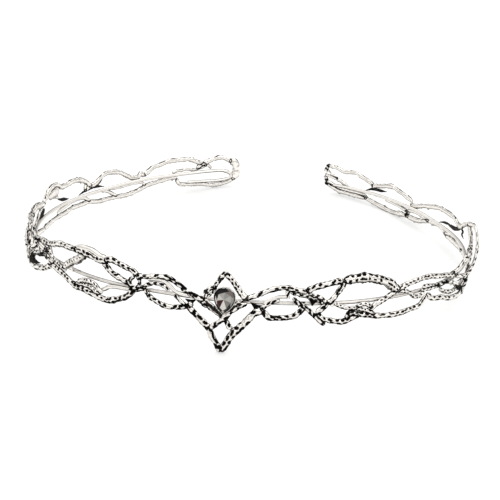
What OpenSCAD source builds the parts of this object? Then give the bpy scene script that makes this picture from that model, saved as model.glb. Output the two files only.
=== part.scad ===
// Open circlet of woven twigs in cast metal, worn over the forehead, with one faceted drop stone in front
// The strands are charted along the band. A station is the distance in millimetres from the middle of the
// front, positive towards the wearer's left, and a height is measured from the middle line of the band.

/* [Band] */
// Width inside the band, from side to side of the inner wire
head_w = 146; // [134:1:164]
// Thickness of the smooth inner wire
wire_d = 1.2; // [1:0.1:1.8]
// Size of the twigs, 1 as charted
twig_size = 1; // [0.9:0.05:1.2]
// Thickness of a twig, from its inner to its outer face, for each millimetre of its width
twig_depth = 0.8; // [0.65:0.05:1]
// Distance of the twigs' middle outside the middle of the wire
twig_out = 0.8; // [0.7:0.02:0.84]

/* [Stone] */
// Width of the stone
stone_w = 5.9; // [5.5:0.1:6.6]
// Height of the stone, from its round top to its point
stone_h = 7.9; // [7.4:0.1:8.4]
// Height of the stone's crown over its girdle
crown_h = 1.3; // [0.8:0.1:1.8]
// Gap between the stone and its setting
stone_gap = 0.1; // [0.08:0.01:0.2]
// Thickness of the setting's wall
bezel_t = 0.3; // [0.3:0.1:0.6]

/* [Rest] */
// Lift of the front as the circlet stands on its point and its two arms, in degrees
rest_pitch = 4.4; // [-8:0.05:8]
// Lean to the side in the same stance, in degrees
rest_roll = 2.15; // [-3:0.05:3]
// Height of the band's middle line in that stance
rest_lift = 10.84; // [0:0.02:30]
// Shift of the circlet to the middle of its outline, sideways
rest_x = -0.8; // [-10:0.1:10]
// Shift of the circlet to the middle of its outline, front to back
rest_y = -0.6; // [-10:0.1:10]

/* [Hidden] */

// Head width for which the stations are charted
chart_w = 146;
// Plan of the band as radius over half the head width: the mean, then the cosine terms for once to four
// times the angle
plan = [0.963, 0.004, -0.0205, -0.0384, 0.0123];
// Distance between the rings of a twig, and of the wire
ring_step = 4.8;
wire_step = 9;
// Every other knot that is closer than this to both its neighbours is passed over
knot_gap = 3.5;
// Thickness that even a broad leaf doesn't pass
broad_depth = 2.2;
// Sides of a strand, and of a small pointed leaf
strand_sides = 5;
leaf_sides = 4;
// Size of a strand's two ends as a share of the rest, and the same for a small pointed leaf
strand_tip = 0.7;
leaf_tip = 0.3;
// How much a strand swells and thins along its run
swell_share = 0.08;
// A strand with more lift than this rises in an arch from its two ends, and how full the arch is
arch_from = 0.7;
arch_fullness = 0.6;
// Columns of a strand
WIDTH = 0;
LIFT = 1;
KNOTS = 2;

// Peak over the stone, the twigs that cross below it and the setting's arms, and the point:
// width, lift, knots [station, height]
centre = [
    [1.5, 0.4, [[0.8, 9.3], [0, 9.7], [-1.2, 8], [-2.4, 6], [-3, 4.9], [-4.4, 4.2], [-5.3, 3],
        [-5.7, 1.2]]],
    [1.9, 0.4, [[0.3, 9.4], [2.2, 7.4], [3.7, 5.4], [5, 3.4], [6.9, 1.6]]],
    [1.8, 0.2, [[-8.2, 0.7], [-5.6, -1.1], [-3, -2.5], [-0.8, -4], [0.8, -5.9], [2.4, -8.5]]],
    [1.8, 0.6, [[6.8, 0.5], [4.2, -0.7], [2, -2.6], [0.3, -4.5], [-1.6, -6.4], [-3.9, -8.4]]],
    [2, 0.4, [[-11.4, -1.6], [-9.6, -3.4], [-7, -5.8], [-4.6, -8.2], [-3.2, -11], [-1.6, -13.6],
        [-0.4, -15.8]]],
    [2.4, 0.4, [[-0.4, -15.8], [1, -13], [2.8, -9.8], [5.6, -6.7], [7.7, -4.1], [9.4, -2.3],
        [11.6, -1.5]]],
    [1.2, 0.4, [[-2.6, 5.6], [-3, 4.2], [-3.1, 2.8]]],
    [1, 0.4, [[-5, 1.6], [-4.2, 2.4], [-3.2, 3.4]]],
    [0.8, 0.6, [[-6.4, 1.2], [-4.4, 0], [-2.4, -1.7], [-0.8, -3.2]]],
    [0.8, 0.9, [[6, 1.6], [4.4, 0.9], [2.6, -0.5], [1.2, -2.4]]]];

// Leaves in front on the wearer's left: width, lift, knots
left_front = [
    [1.7, 0.5, [[6, 1.8], [8.6, 2.9], [11, 4], [14, 5.3], [18, 6], [21, 5.2], [24.6, 4.7]]],
    [1.2, 0.2, [[18.8, 5.6], [19.8, 4.2], [22, 3.5], [24.5, 3], [27, 2.4], [29.4, 0.6]]],
    [1.2, 0.5, [[24.2, 5], [25.6, 3.8], [28.2, 2.9], [30.2, 1.2]]],
    [1.3, 0.3, [[18.4, 5.2], [18.4, 3.8], [18.8, 2.2]]],
    [1.5, 0.6, [[20.2, 3], [21.4, 1.4], [23.6, 0], [26, -2.2], [28.2, -4.4], [30.2, -6.2]]],
    [1.8, 0.3, [[10.8, -1.4], [12.2, -2.6], [13.6, -3.8], [17, -3.8], [20.4, -3.3], [22.4, -1.8],
        [24, 0]]],
    [1.5, 0.4, [[10.6, -1.6], [12, -0.2], [14, 1.2], [16.4, 2]]],
    [1.8, 0.6, [[35.4, 8], [34.9, 6.4], [33.6, 4.3], [32.2, 2.3], [30.6, 0.8], [29, -0.7],
        [27.2, -2.1]]],
    [2, 0.4, [[24, 4.8], [26.4, 6], [30, 6.9], [35, 8]]],
    [3, 0.4, [[35, 7.8], [38, 8.1], [42, 8.2], [46, 7.3], [49.8, 5.8], [52, 4.1], [54, 2.6]]],
    [1.8, 0.3, [[27.4, -2.2], [29.4, -4.2], [32.4, -5], [35.6, -5.5], [38.4, -4.6], [41, -3.6]]],
    [1.4, 0.5, [[31.6, -0.2], [32.4, 0.9], [33.6, 0.2], [36, -0.8], [40, -1.4], [43, -2.4],
        [46, -3.8]]],
    [1.4, 0.3, [[36.6, -5], [37.4, -2.8], [39, -1.8], [41.4, -0.4], [43.4, -0.6], [45.2, -2]]],
    [1.8, 0.4, [[37, -2.5], [40, -3.3], [43.4, -3.9], [47, -4.7], [51, -5.1], [55, -5.1], [59, -4.6],
        [62.4, -4.3], [64.2, -3.1], [65.8, -1.4]]],
    [1.8, 0.4, [[44.4, -2.4], [46.6, -0.6], [49.4, 0.6], [52, 2], [54.6, 3.3], [57.4, 4.1], [60, 4.5],
        [64, 4.8], [67.6, 4.6], [70.2, 4], [73, 3.4], [76, 2.8], [79.4, 1.8], [82, 1.4]]],
    [1.5, 0.5, [[53.2, 2.6], [56.4, 2], [58.6, 1], [59.6, 0], [61, -0.7], [63.6, -0.7], [63.8, 0.4]]],
    [1.5, 0.4, [[63.4, 0.6], [65, 0.8], [68, 0.6], [72, 0.6], [77, 0.6]]]];

// Side over the wearer's left temple: width, lift, knots
left_side = [
    [1.4, 0.3, [[63.8, 1.8], [67, 1.6], [70.6, 0.8], [73, 0.4], [74.6, 1], [77, 0.2], [79.8, -0.6],
        [82.4, -2], [86.6, -4.6]]],
    [1.8, 1.4, [[66.4, -1], [67.6, -2.4], [69.4, -3.2], [72.8, -3.6], [76.4, -4.8], [81, -5.6],
        [85.6, -5.6], [89.6, -4.4], [93.6, -2.8], [98, -2.2]]],
    [1.5, 0.5, [[72, -0.6], [74.6, -2.2], [77.6, -3.2], [80.6, -3.8], [84, -3.6]]],
    [1.8, 1, [[79, 2], [83, 2.8], [87, 4.4], [91.6, 5.4], [96, 5.2], [99.6, 4.2]]],
    [1.6, 2.8, [[80.4, 1.8], [84, 0.4], [88, 0], [92, 1.4], [96, 3.6], [99.4, 5], [103, 6.4],
        [106, 8.4], [109, 9.4], [112.8, 8.6]]],
    [1.8, 0.6, [[86, -5], [90.6, -3.6], [94.6, -1.4], [98.6, 1], [102, 3.2], [105, 4.6]]],
    [2.2, 0.5, [[95, 5.4], [99, 5], [103, 5], [107, 5.8], [110.6, 6.8], [113.6, 8]]],
    [2.2, 0.6, [[98, -2.2], [101.6, -3.2], [106.6, -4.2], [111.6, -3.9], [116, -3.4], [121.6, -3.2],
        [128.4, -3], [134.4, -2.8]]]];

// Arm behind the wearer's left ear: width, lift, knots
left_arm = [
    [1.8, 0.4, [[112.8, 8.6], [119.2, 6.2], [122, 4.4], [125.2, 4.3], [129, 5.3],
        [135.4, 5.6], [140.4, 5.3], [145.4, 4.2], [150, 3.1], [153.8, 1.7], [157.6, 0.8]]],
    [1.8, 0.4, [[157.2, 1.2], [157.6, 2.8], [159, 3.3], [162.2, 4], [165.2, 4.6], [168.5, 5.2],
        [172, 4.5], [175, 3.7], [177.6, 3.1], [179.4, 2.4]]],
    [1.6, 0.4, [[179.4, 2.2], [178.8, 3.2], [181.5, 4.1], [185, 5.1], [187.4, 5.8], [190, 5.5],
        [193, 5.1], [196, 5.8], [200.6, 6.3]]],
    [1.4, 0.4, [[201.2, 2.2], [198.6, 1.9], [196, 1.5], [194, 0.8], [192.2, 0.1], [190.8, -0.6]]],
    [1.6, 0.4, [[200.3, 6.6], [200.6, 5.2], [201.2, 3.8], [201.4, 2.4]]],
    [1.6, 0.4, [[201.4, 1.8], [200.6, 0.4], [200.6, -1], [200.8, -1.8]]],
    [0.9, 0.4, [[200.6, 4.6], [198.6, 3], [196.8, 2.4], [195.4, 1.4]]],
    [1.8, 0.4, [[133.4, -2.9], [136, -1.6], [139.2, -0.9], [145.6, -1.4], [148.8, -2.4], [152.8, -3.4],
        [157.6, -3.6], [160, -3.2]]],
    [1.4, 0.3, [[145.4, -1.4], [150, -0.8], [154.6, -0.6], [158, -1.2], [160, -2.2]]],
    [1.8, 0.4, [[157.6, -3.4], [160, -3.6], [163.4, -4], [167, -4.5], [171, -4.4], [175, -4],
        [178.4, -3.5], [182, -2.9]]],
    [1.3, 0.3, [[157.4, -1.9], [160, -1.6], [164, -1.2], [168, -0.9], [171.6, -0.5]]],
    [2, 0.4, [[200.8, -1.2], [198.6, -1.6], [196.4, -2.4], [194, -3], [190, -3.2], [186, -3.1],
        [183, -2.8], [181, -2.6]]],
    [1.6, 0.3, [[181.4, -2.2], [185, -1.7], [190, -1.8], [195, -1.7], [197.6, -1.1], [200.4, -0.2]]],
    [1.3, 0.2, [[118, -3], [121.6, -1.6], [126, -1], [131, -1.4], [134.6, -2.4]]]];

// Leaves in front on the wearer's right: width, lift, knots
right_front = [
    [1.8, 0.5, [[-27.6, 4.4], [-24, 5], [-20, 5.7], [-17, 5.8], [-14, 4.4], [-11, 2.3], [-8, 0.9],
        [-6, 0.6]]],
    [1.4, 0.5, [[-25.6, 1.2], [-23.2, 2.8], [-20.8, 3.4], [-18.2, 3], [-16.6, 1.8]]],
    [1.3, 0.3, [[-15.2, 0.8], [-13.4, -0.8], [-11.6, -2.2]]],
    [1.7, 0.3, [[-24.8, 1.2], [-23.2, -1.1], [-20.6, -2.5], [-17.6, -3.4], [-14.4, -3.2], [-11.2, -2.4],
        [-9.4, -1]]],
    [1.4, 0.4, [[-30, -0.6], [-27.2, 0], [-24.6, 1.2]]],
    [1.4, 0.5, [[-28, 4.2], [-29.7, 2.8], [-29.5, 1], [-28, 0.4], [-26.6, 1.5], [-26.4, 3.2],
        [-27.4, 4.4]]],
    [1.9, 0.4, [[-27.2, 4.4], [-28.6, 5.8], [-31, 6.5], [-34, 7.2], [-36.6, 7.8], [-38.8, 7]]],
    [2.2, 0.4, [[-38, 6.9], [-41.6, 6.6], [-45, 7.2], [-48, 7.5], [-51.4, 7.3]]],
    [2, 0.4, [[-50, 7.4], [-55.2, 7.1], [-59, 6.9], [-63.6, 5.4], [-67.4, 4.6], [-71, 4.4]]],
    [1.9, 0.3, [[-39.8, 6.4], [-38, 4.9], [-36.4, 3.6], [-34.6, 2.9], [-32.4, 2.2], [-30, 1.4]]],
    [2.6, 0.3, [[-47, 6.8], [-50, 4.4], [-52.6, 3], [-55.2, 1.2], [-57, -0.4]]],
    [1.5, 0.5, [[-67.4, 4.6], [-65.2, 3.4], [-64.2, 1.6], [-61.8, 0.2], [-58.8, -0.6], [-55.6, -0.8]]],
    [2, 0.5, [[-66, -1.2], [-62.6, -1.7], [-59, -2.3], [-55.8, -3.2], [-53.2, -4.1], [-50.6, -4.7],
        [-47.6, -4.7], [-44.6, -5.1], [-41.6, -5.5], [-39, -5.8], [-36.6, -5.5], [-33.8, -4.4],
        [-31.2, -3.1], [-29.4, -1.4], [-28.8, 0.2]]],
    [1.6, 0.6, [[-50, -2.8], [-47.6, -1.8], [-44.8, -1.4], [-42.6, -1.8], [-41, -3.2], [-39.4, -3.6]]],
    [1.6, 0.3, [[-51.4, -4.2], [-48.6, -3.4], [-45, -3.2], [-42.4, -4.2], [-40.4, -4]]]];

// Side over the wearer's right temple: width, lift, knots
right_side = [
    [1.6, 0.5, [[-63, -0.6], [-65.8, 0], [-67.9, 0.6], [-70.4, 0.2], [-73.4, -0.6], [-76.6, -1.8],
        [-80.6, -3.6], [-84, -5]]],
    [2, 1.6, [[-62.6, -1], [-65.2, -2.4], [-68, -4], [-71, -5], [-74, -5.9], [-77.4, -6.5], [-81, -6.7],
        [-85, -6], [-89, -4.4], [-92, -3.4], [-96, -3.6], [-101, -4.8], [-106, -5.7], [-111.4, -5.8]]],
    [2.2, 0.4, [[-65.4, 3], [-68.2, 1.4], [-71.4, 0.6], [-75, 1.4], [-79, 3.2], [-82, 4.4]]],
    [2, 0.9, [[-65, 2.4], [-67.6, 2.2], [-70.6, 2.4], [-74, 3], [-77.4, 2.6], [-80.4, 3.4]]],
    [1.8, 0.8, [[-70.6, 4.6], [-74.6, 3.6], [-78, 3.6], [-82, 4.6], [-87, 5.6], [-91, 5.2]]],
    [2.4, 1.2, [[-89, 5.4], [-93, 4.8], [-97, 3.8], [-101, 3.6], [-105, 4.2], [-108.6, 3.8],
        [-111.4, 3.4]]],
    [1.8, 2.2, [[-71.6, 4.2], [-74.2, 2], [-77.6, -0.2], [-82, -1.8], [-87, -1.8], [-92, -0.2],
        [-96, 2.2], [-99.6, 3.8]]],
    [2.8, 0.6, [[-80, -5], [-84, -3], [-88, -1], [-92, -0.6], [-95, -1.2]]],
    [1.6, 0.4, [[-93, -1], [-98, -2.4], [-102, -1.6], [-106, 0.6], [-110, 3]]]];

// Arm behind the wearer's right ear: width, lift, knots
right_arm = [
    [2, 0.4, [[-111, 3.2], [-114, 5.6], [-117.2, 7.6], [-121, 7.8], [-124.4, 6.2], [-128, 6.1],
        [-131.2, 6.6], [-135.6, 6.1], [-138.8, 4.5], [-141, 2.4]]],
    [4.2, 0.2, [[-115.4, 4.6], [-118, 5.3], [-120.4, 5.6], [-122.6, 5.6]]],
    [1, 0.3, [[-117.6, 4], [-120, 3.4], [-122.6, 2.6]]],
    [1.2, 0.3, [[-138.2, 1], [-138, 2.8], [-138.2, 4.2]]],
    [1.8, 0.4, [[-137.4, 1.4], [-140.4, 2.4], [-143.6, 3.2], [-147, 5.4], [-150, 6], [-155, 5.3],
        [-158.4, 3.6], [-161.6, 1.9], [-164.2, 1.7], [-165.4, 3], [-167.4, 1.9]]],
    [1.8, 0.4, [[-167, 1.8], [-169.2, 3.4], [-171.2, 4.6], [-174.4, 5.2], [-178.2, 6.1], [-182.6, 6.1],
        [-187.6, 6], [-190.6, 4.7], [-193, 3.8], [-194.6, 3.2]]],
    [1.8, 0.4, [[-190.6, 2], [-192.4, 3.3], [-195.4, 4.6], [-198.6, 5.6], [-201, 5.9], [-203.4, 4.9],
        [-204.8, 4.2]]],
    [3.2, 0.4, [[-204.2, 4.8], [-206.2, 3.4], [-206.9, 1], [-206.6, -1.2], [-205.4, -3]]],
    [1.2, 0.3, [[-196.8, 1.6], [-195.2, 3], [-193, 2.4], [-191, 1.8], [-188.6, 1.6], [-186, 2.1],
        [-184, 1.8], [-182, 1.8], [-180, 1.2]]],
    [1.8, 0.4, [[-111.4, -5.8], [-117, -5.1], [-122.8, -4.5], [-127, -4.2], [-131.2, -3.5],
        [-135.6, -3.5], [-140, -3.3], [-145, -4.2], [-150, -4.2], [-155, -4.3], [-160, -4.3],
        [-165, -3.3], [-167.6, -2.4], [-170.4, -1.9], [-175, -1.3], [-179.4, -0.7], [-182.4, -0.6]]],
    [1.3, 0.3, [[-154, -3.8], [-151.4, -2.2], [-149, -1], [-146.4, -0.4]]],
    [1.5, 0.3, [[-140.4, -2.9], [-138.6, -1.8], [-136.6, -0.9], [-133, -0.8], [-130, -1],
        [-127.6, -1.5], [-124, -2.2], [-121.6, -3.2]]],
    [1.2, 0.3, [[-167.6, -1.8], [-165.6, -0.5], [-160, -0.4], [-155, -0.7], [-150, -0.3]]],
    [1.7, 0.4, [[-182, -1.4], [-183.4, -3.6], [-187, -4.2], [-192.4, -4.5], [-197.4, -5.3],
        [-202.6, -4.5], [-206.4, -2.4]]]];

// Smooth strips that run along some leaves: width, lift, knots
strips = [
    [1.3, 0.4, [[-24, 4.2], [-21, 4.8], [-18.2, 4.5], [-16.4, 3.2], [-14.6, 1.8], [-12, 1.2], [-9, 1]]],
    [1, 0.3, [[11.4, 0.6], [13.6, 2], [16, 2.9], [18.6, 3]]],
    [1.9, 0.1, [[-38.6, 7.6], [-41, 7.8], [-44.6, 8.8], [-48, 8.6], [-51.4, 7.9]]],
    [1.3, 0.1, [[-39.4, -3], [-37.4, -1.4], [-34.6, -0.8], [-31.6, -0.6], [-29.8, -0.4]]]];

// Small pointed leaves in forks and gaps: width, lift, knots
dark_leaves = [
    [1.3, 0.3, [[171, 2.5], [174, 2], [176.4, 1.9], [179, 1.5], [182.4, 0]]],
    [0.9, 0.3, [[122.6, 4.2], [119.4, 3.4], [120.4, 2.2], [117.6, 1.4]]],
    [1.6, 0.3, [[133, 1.5], [129.8, 1.7], [126.4, 2.1], [121.6, 3.8]]],
    [0.9, 0.3, [[129, 1.8], [133, 1.8], [137, 1.1], [139.4, 0.2]]],
    [1.4, 0.3, [[-148, 1], [-143.4, 2], [-140.8, 1.9], [-138.4, 1.6], [-134.4, 0.4]]],
    [1.2, 0.3, [[-147, 4.4], [-145.2, 3], [-142.6, 2.4], [-138.6, 1.5]]],
    [1.3, 0.3, [[-121.8, 2.3], [-124.6, 1.4], [-127, 0.9], [-129, 0.6]]],
    [2.8, 0.3, [[-112, 1.6], [-109.4, 0.9], [-106.8, 0.2], [-104.4, -0.6]]],
    [1.3, 0.3, [[-108, 0.2], [-105, -0.8], [-101.4, -2.2]]],
    [2.6, 1.6, [[-75, -5], [-77.2, -4.9], [-79.4, -4.6], [-82, -4]]],
    [1.2, 0.9, [[-68, -0.3], [-71, -0.7], [-74, -1.6], [-77, -2.8]]],
    [1.6, 1, [[-65.2, -0.3], [-66.8, 0], [-68.4, 0.3]]],
    [1.2, 1.5, [[-90, 0.2], [-86.6, -1.8], [-83.6, -3.4], [-81, -4.4]]],
    [1.8, 1.6, [[82, -3.4], [84, -3.7], [86.4, -4.2]]],
    [1.3, 1.2, [[101, 0.2], [97, -0.4], [93, -0.8], [89, -1.5], [85, -2]]],
    [1.3, 0.9, [[-6, 0.3], [-3.6, -1.4], [-0.6, -3.9]]],
    [1.3, 1.1, [[5.6, 0.8], [3, -0.9], [0.8, -3.6]]],
    [1.7, 0.6, [[-5.8, 3.6], [-4.8, 4.3], [-3.8, 4.9]]]];

// Inner wire, and the hairpin in which it ends on the wearer's right: knots [station, height]
wire = [[-204, 0.2], [-200, 0.9], [-183, 0.6], [-165, 0.8], [-145, 0.3], [-122, -0.1], [-100, -0.4],
    [-80, -0.3], [-60, -0.3], [-45, -0.4], [-32, -0.1], [-20, 0.4], [0, 0.5], [20, 0.5], [40, 0.2],
    [60, 0.3], [80, 0.2], [110, 0.1], [136, 0.1], [150, 0.6], [162, 0.5], [173, 0.3], [184, -0.2],
    [197, -0.9]];
hairpin = [[-200.8, 0.9], [-203.8, -0.2], [-204.6, -1.5], [-202.6, -2.7], [-197, -3.2], [-186, -2.9]];

// Thickness of the hairpin's wire as a share of the wire's
hairpin_share = 0.95;

// Spurs of broken bark: station, height, heading in degrees, length, thickness
spurs = [
    [-3.6, -11.4, 205, 0.9, 1], [-23, -1.4, 250, 1.5, 1.1], [19, 6.3, 80, 0.7, 0.8],
    [42, 8.9, 60, 0.9, 1.1], [-36.8, 8.2, 100, 0.8, 1], [-50.8, 8, 110, 0.8, 0.9],
    [-41, -5.8, 250, 0.8, 1], [55, -5.5, 280, 0.8, 0.9], [-165.4, 2.3, 95, 2, 1],
    [-183.6, -4, 260, 0.9, 1], [-197.4, -5.6, 265, 0.8, 0.9], [187, 6, 100, 0.8, 0.9],
    [-127.6, -4.8, 270, 0.9, 1.1], [68, 4.9, 85, 0.8, 0.9], [12.8, -3.6, 250, 0.8, 0.9],
    [-189.4, 5.6, 60, 0.9, 0.9], [-34.8, 3.2, 80, 1.2, 1], [160, 3.8, 85, 1.2, 1.1],
    [167.4, 5, 70, 1.2, 1.2], [137, 5.8, 100, 0.9, 1], [-118.4, 7.6, 95, 0.9, 1.5],
    [-122.6, 6.8, 120, 0.8, 1.3], [53, 2.6, 20, 0.9, 1.6]];

// How far a spur stands out past the twigs' middle
spur_out = 0.3;
// How far it reaches back from its foot and past its charted tip, and the size of its tip, as shares of it
spur_sink = 0.35;
spur_nose = 0.2;
spur_tip = 0.6;

// Webs of metal that fill the forks, each a triangle: three times station and height
webs = [
    [-11.8, -0.2, -8.2, 0.2, -10, -3], [7.6, 0.8, 11.8, -0.2, 9, -2.6],
    [-2.4, -2.4, 2.6, -2.2, 0.2, -4.6], [20.6, 1.8, 24, 1.2, 22, -0.6],
    [24, 2.8, 28.6, 1.8, 26, -0.2], [27.4, 1.8, 30.8, 1.6, 29, -0.6],
    [-44.6, -3.2, -40.6, -2.8, -41, -4.8], [38, -1.4, 44.2, -2, 40, -3.4],
    [41, -2.4, 46, -3.4, 43, -4.2], [77, 0.4, 82, 0, 80, -2], [86, -3.4, 90, -3.4, 87, -5.4],
    [-55.6, 0, -53, 1.6, -52.8, -0.6], [-64, 1, -61, 0.6, -62.4, -0.8]];
web_t = 0.8;

// Place of the stone's middle on the band, its turn, and how far its girdle stands outside the wire
stone_station = 0.2;
stone_height = 1.4;
stone_turn = -4;
girdle_out = 2.5;
girdle_t = 0.3;
pavilion_h = 1.1;
// Foot of the setting, the height from which its wall is upright, and its rim over the girdle
bezel_foot = 0.4;
bezel_seat = 2.4;
bezel_rim = 0.05;
// Size of the setting at its foot, as a share of its rim
foot_share = 0.73;
// How full the drop's lower sides are, and the largest value of its width's formula for that
drop_fullness = 0.7;
drop_widest = 0.82;
// Corners of the setting and the girdle, and of the table
round_corners = 16;
table_corners = 8;
// Rings of the stone from its table to its foot: share of the outline, corners, turn of the first corner,
// and height over the girdle
stone_rings = [
    [0.74, table_corners, 0, crown_h],
    [0.9, table_corners, 22.5, crown_h * 0.6],
    [1, round_corners, 0, girdle_t],
    [1, round_corners, 0, 0],
    [0.3, table_corners, 0, -pavilion_h]];
// How far a smaller ring sits over the middle of the outline, as a share of the stone's height
ring_rise = 0.06;

// Radius of the plan at an angle from the front
function radius(a) = head_w / 2
    * (plan[0] + plan[1] * cos(a) + plan[2] * cos(2 * a) + plan[3] * cos(3 * a) + plan[4] * cos(4 * a));
function on_plan(a) = radius(a) * [sin(a), -cos(a)];

// Length of the band from the front to each angle, and the angle at a station
angle_step = 2;
function chord(i) = norm(on_plan((i + 1) * angle_step) - on_plan(i * angle_step));
lengths = [for (i = 0, len = 0; i <= 180 / angle_step; len = len + chord(i), i = i + 1)
    [len, i * angle_step]];
function angle_at(s) = sign(s) * lookup(abs(s) * head_w / chart_w, lengths);

// Directions along and out of the band at an angle
function along(a) = let (d = on_plan(a + 0.5) - on_plan(a - 0.5)) [d.x, d.y, 0] / norm(d);
function outward(a) = let (t = along(a)) [t.y, -t.x, 0];
function place(s, h, out) = let (a = angle_at(s), p = on_plan(a)) [p.x, p.y, h] + out * outward(a);

// Knots of a strand without every other one of those that lie close together
function spread(k) = let (n = len(k) - 1) [
    for (i = [0 : n])
        if (i % 2 == 0 || i == n || max(norm(k[i] - k[i - 1]), norm(k[i + 1] - k[i])) > knot_gap) k[i]];

// Smooth run through the knots of a strand, with about one point every step
function blend4(a, b, c, d, t) = (2 * b + (c - a) * t + (2 * a - 5 * b + 4 * c - d) * t * t
    + (3 * b - a - 3 * c + d) * t * t * t) / 2;
function run(k, step) = let (n = len(k) - 1) [
    for (i = [0 : n - 1])
        let (a = i == 0 ? 2 * k[0] - k[1] : k[i - 1], d = i == n - 1 ? 2 * k[n] - k[n - 1] : k[i + 2],
            parts = max(1, round(norm(k[i + 1] - k[i]) / step)))
            for (j = [0 : parts - 1]) blend4(a, k[i], k[i + 1], d, j / parts),
    k[n]];

// One ring of a strand: its middle, its sideways direction on the band, and its two half sizes
function ring(p, dir, half_w, half_d, out, sides) =
    let (a = angle_at(p.x), u = dir / norm(dir), side = -u.y * along(a) + [0, 0, u.x],
        mid = place(p.x, p.y, out))
        [for (i = [0 : sides - 1]) let (t = i * 360 / sides)
            mid + half_w * cos(t) * side + half_d * sin(t) * outward(a)];

// A strand over its run. It swells and thins a little, and its two ends are drawn in
module strand(w, depth, lift, out, knots, step = ring_step, tip = strand_tip, sides = strand_sides) {
    pts = run(spread(knots), step);
    n = len(pts) - 1;
    rings = [for (i = [0 : n])
        let (dir = pts[min(n, i + 1)] - pts[max(0, i - 1)],
            swell = 1 + swell_share * sin(127 * pts[i].x + 71 * i),
            end = i == 0 || i == n ? tip : 1,
            rise = lift > arch_from ? lift * pow(sin(180 * i / n), arch_fullness) : lift,
            half_d = min(w * depth, broad_depth) / 2)
            ring(pts[i], dir, w / 2 * swell * end, half_d * swell * end, out + rise, sides)];
    vertices = [for (r = rings) for (v = r) v];
    walls = [for (i = [0 : n - 1]) for (j = [0 : sides - 1])
        let (a = i * sides + j, b = i * sides + (j + 1) % sides, c = a + sides, d = b + sides)
            each [[a, d, b], [a, c, d]]];
    first = [for (j = [0 : sides - 1]) j];
    last = [for (j = [sides - 1 : -1 : 0]) n * sides + j];
    polyhedron(vertices, concat(walls, [first, last]));
}

// A spur of bark that stands out from a twig. Its foot lies in the twig
module spur(row) {
    d = row[4] * twig_size;
    translate(place(row[0], row[1], twig_out + spur_out)) rotate([0, 0, angle_at(row[0])])
        rotate([0, 90 - row[2], 0]) translate([0, 0, -spur_sink * d])
            cylinder(h = row[3] + (spur_sink + spur_nose) * d, d1 = d, d2 = spur_tip * d, $fn = 4);
}

// A thin web in a fork
module web(row) {
    hull() polyhedron([for (side = [-0.5, 0.5]) for (i = [0 : 2])
        place(row[2 * i], row[2 * i + 1], twig_out + side * web_t)],
        [[0, 1, 2], [5, 4, 3], [0, 3, 4, 1], [1, 4, 5, 2], [2, 5, 3, 0]]);
}

// Outline of a drop with its point down, its widest part at full width
function drop(w, h, n, turn = 0) = [for (i = [0 : n - 1]) let (t = i * 360 / n + turn)
    [w / 2 * sin(t) * pow(abs(sin(t / 2)), drop_fullness) / drop_widest, -h / 2 * cos(t)]];

// The stone's own frame: x along the band, y up, z outward
module on_setting() {
    a = angle_at(stone_station);
    translate(place(stone_station, stone_height, 0)) rotate([0, 0, a]) rotate([90, 0, 0])
        rotate([0, 0, stone_turn]) children();
}

// Outline of the setting's wall
module wall_outline() {
    room = 2 * stone_gap;
    difference() {
        offset(delta = bezel_t) polygon(drop(stone_w + room, stone_h + room, round_corners));
        polygon(drop(stone_w + room, stone_h + room, round_corners));
    }
}

// The setting: upright round the girdle, narrower towards its foot
module setting() {
    on_setting() translate([0, 0, bezel_seat]) {
        linear_extrude(girdle_out + girdle_t + bezel_rim - bezel_seat) wall_outline();
        mirror([0, 0, 1]) linear_extrude(bezel_seat - bezel_foot, scale = foot_share) wall_outline();
    }
}

module circlet() {
    color("silver") rest() union() {
        strand(wire_d, 1, 0, 0, wire, wire_step);
        strand(wire_d * hairpin_share, 1, 0, 0, hairpin);
        for (table = [centre, left_front, left_side, left_arm, right_front, right_side, right_arm,
            strips])
            for (row = table)
                strand(row[WIDTH] * twig_size, twig_depth, row[LIFT], twig_out, row[KNOTS]);
        for (row = dark_leaves)
            strand(row[WIDTH] * twig_size, twig_depth, row[LIFT], twig_out, row[KNOTS], tip = leaf_tip,
                sides = leaf_sides);
        for (row = spurs) spur(row);
        for (row = webs) web(row);
        setting();
    }
}

// Corners of one ring of the stone
function stone_ring(row) = [for (p = drop(stone_w * row[0], stone_h * row[0], row[1], row[2]))
    [p.x, p.y + stone_h * ring_rise * (1 - row[0]), girdle_out + row[3]]];

// The stone: table, a star of triangles, crown facets, upright girdle, pavilion and foot
module stone() {
    n = table_corners;
    star = n;
    girdle = 2 * n;
    under = 4 * n;
    foot = 6 * n;
    crown = [for (i = [0 : n - 1]) let (j = (i + 1) % n, b = 2 * i + 1, c = (2 * i + 2) % round_corners)
        each [[i, j, star + i], [star + i, j, star + j], [girdle + b, girdle + 2 * i, star + i],
            [girdle + c, girdle + b, star + i], [star + i, star + j, girdle + c]]];
    wall = [for (i = [0 : round_corners - 1]) let (j = (i + 1) % round_corners)
        [girdle + i, girdle + j, under + j, under + i]];
    pavilion = [for (i = [0 : n - 1]) let (j = (i + 1) % n, b = 2 * i + 1, c = (2 * i + 2) % round_corners)
        each [[under + 2 * i, under + b, foot + i], [under + b, under + c, foot + j],
            [foot + i, under + b, foot + j]]];
    table = [for (i = [n - 1 : -1 : 0]) i];
    culet = [for (i = [0 : n - 1]) foot + i];
    color([0.25, 0.22, 0.24]) rest() on_setting()
        polyhedron([for (row = stone_rings) each stone_ring(row)],
            concat([table, culet], crown, wall, pavilion));
}

// The stance on a flat surface
module rest() {
    translate([rest_x, rest_y, rest_lift]) rotate([-rest_pitch, rest_roll, 0]) children();
}

circlet();
stone();
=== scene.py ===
"""Open twig circlet: bright cast twigs with dark pits, a smooth inner wire and a dark drop stone."""
import math
from functools import partial
from typing import NamedTuple

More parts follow.
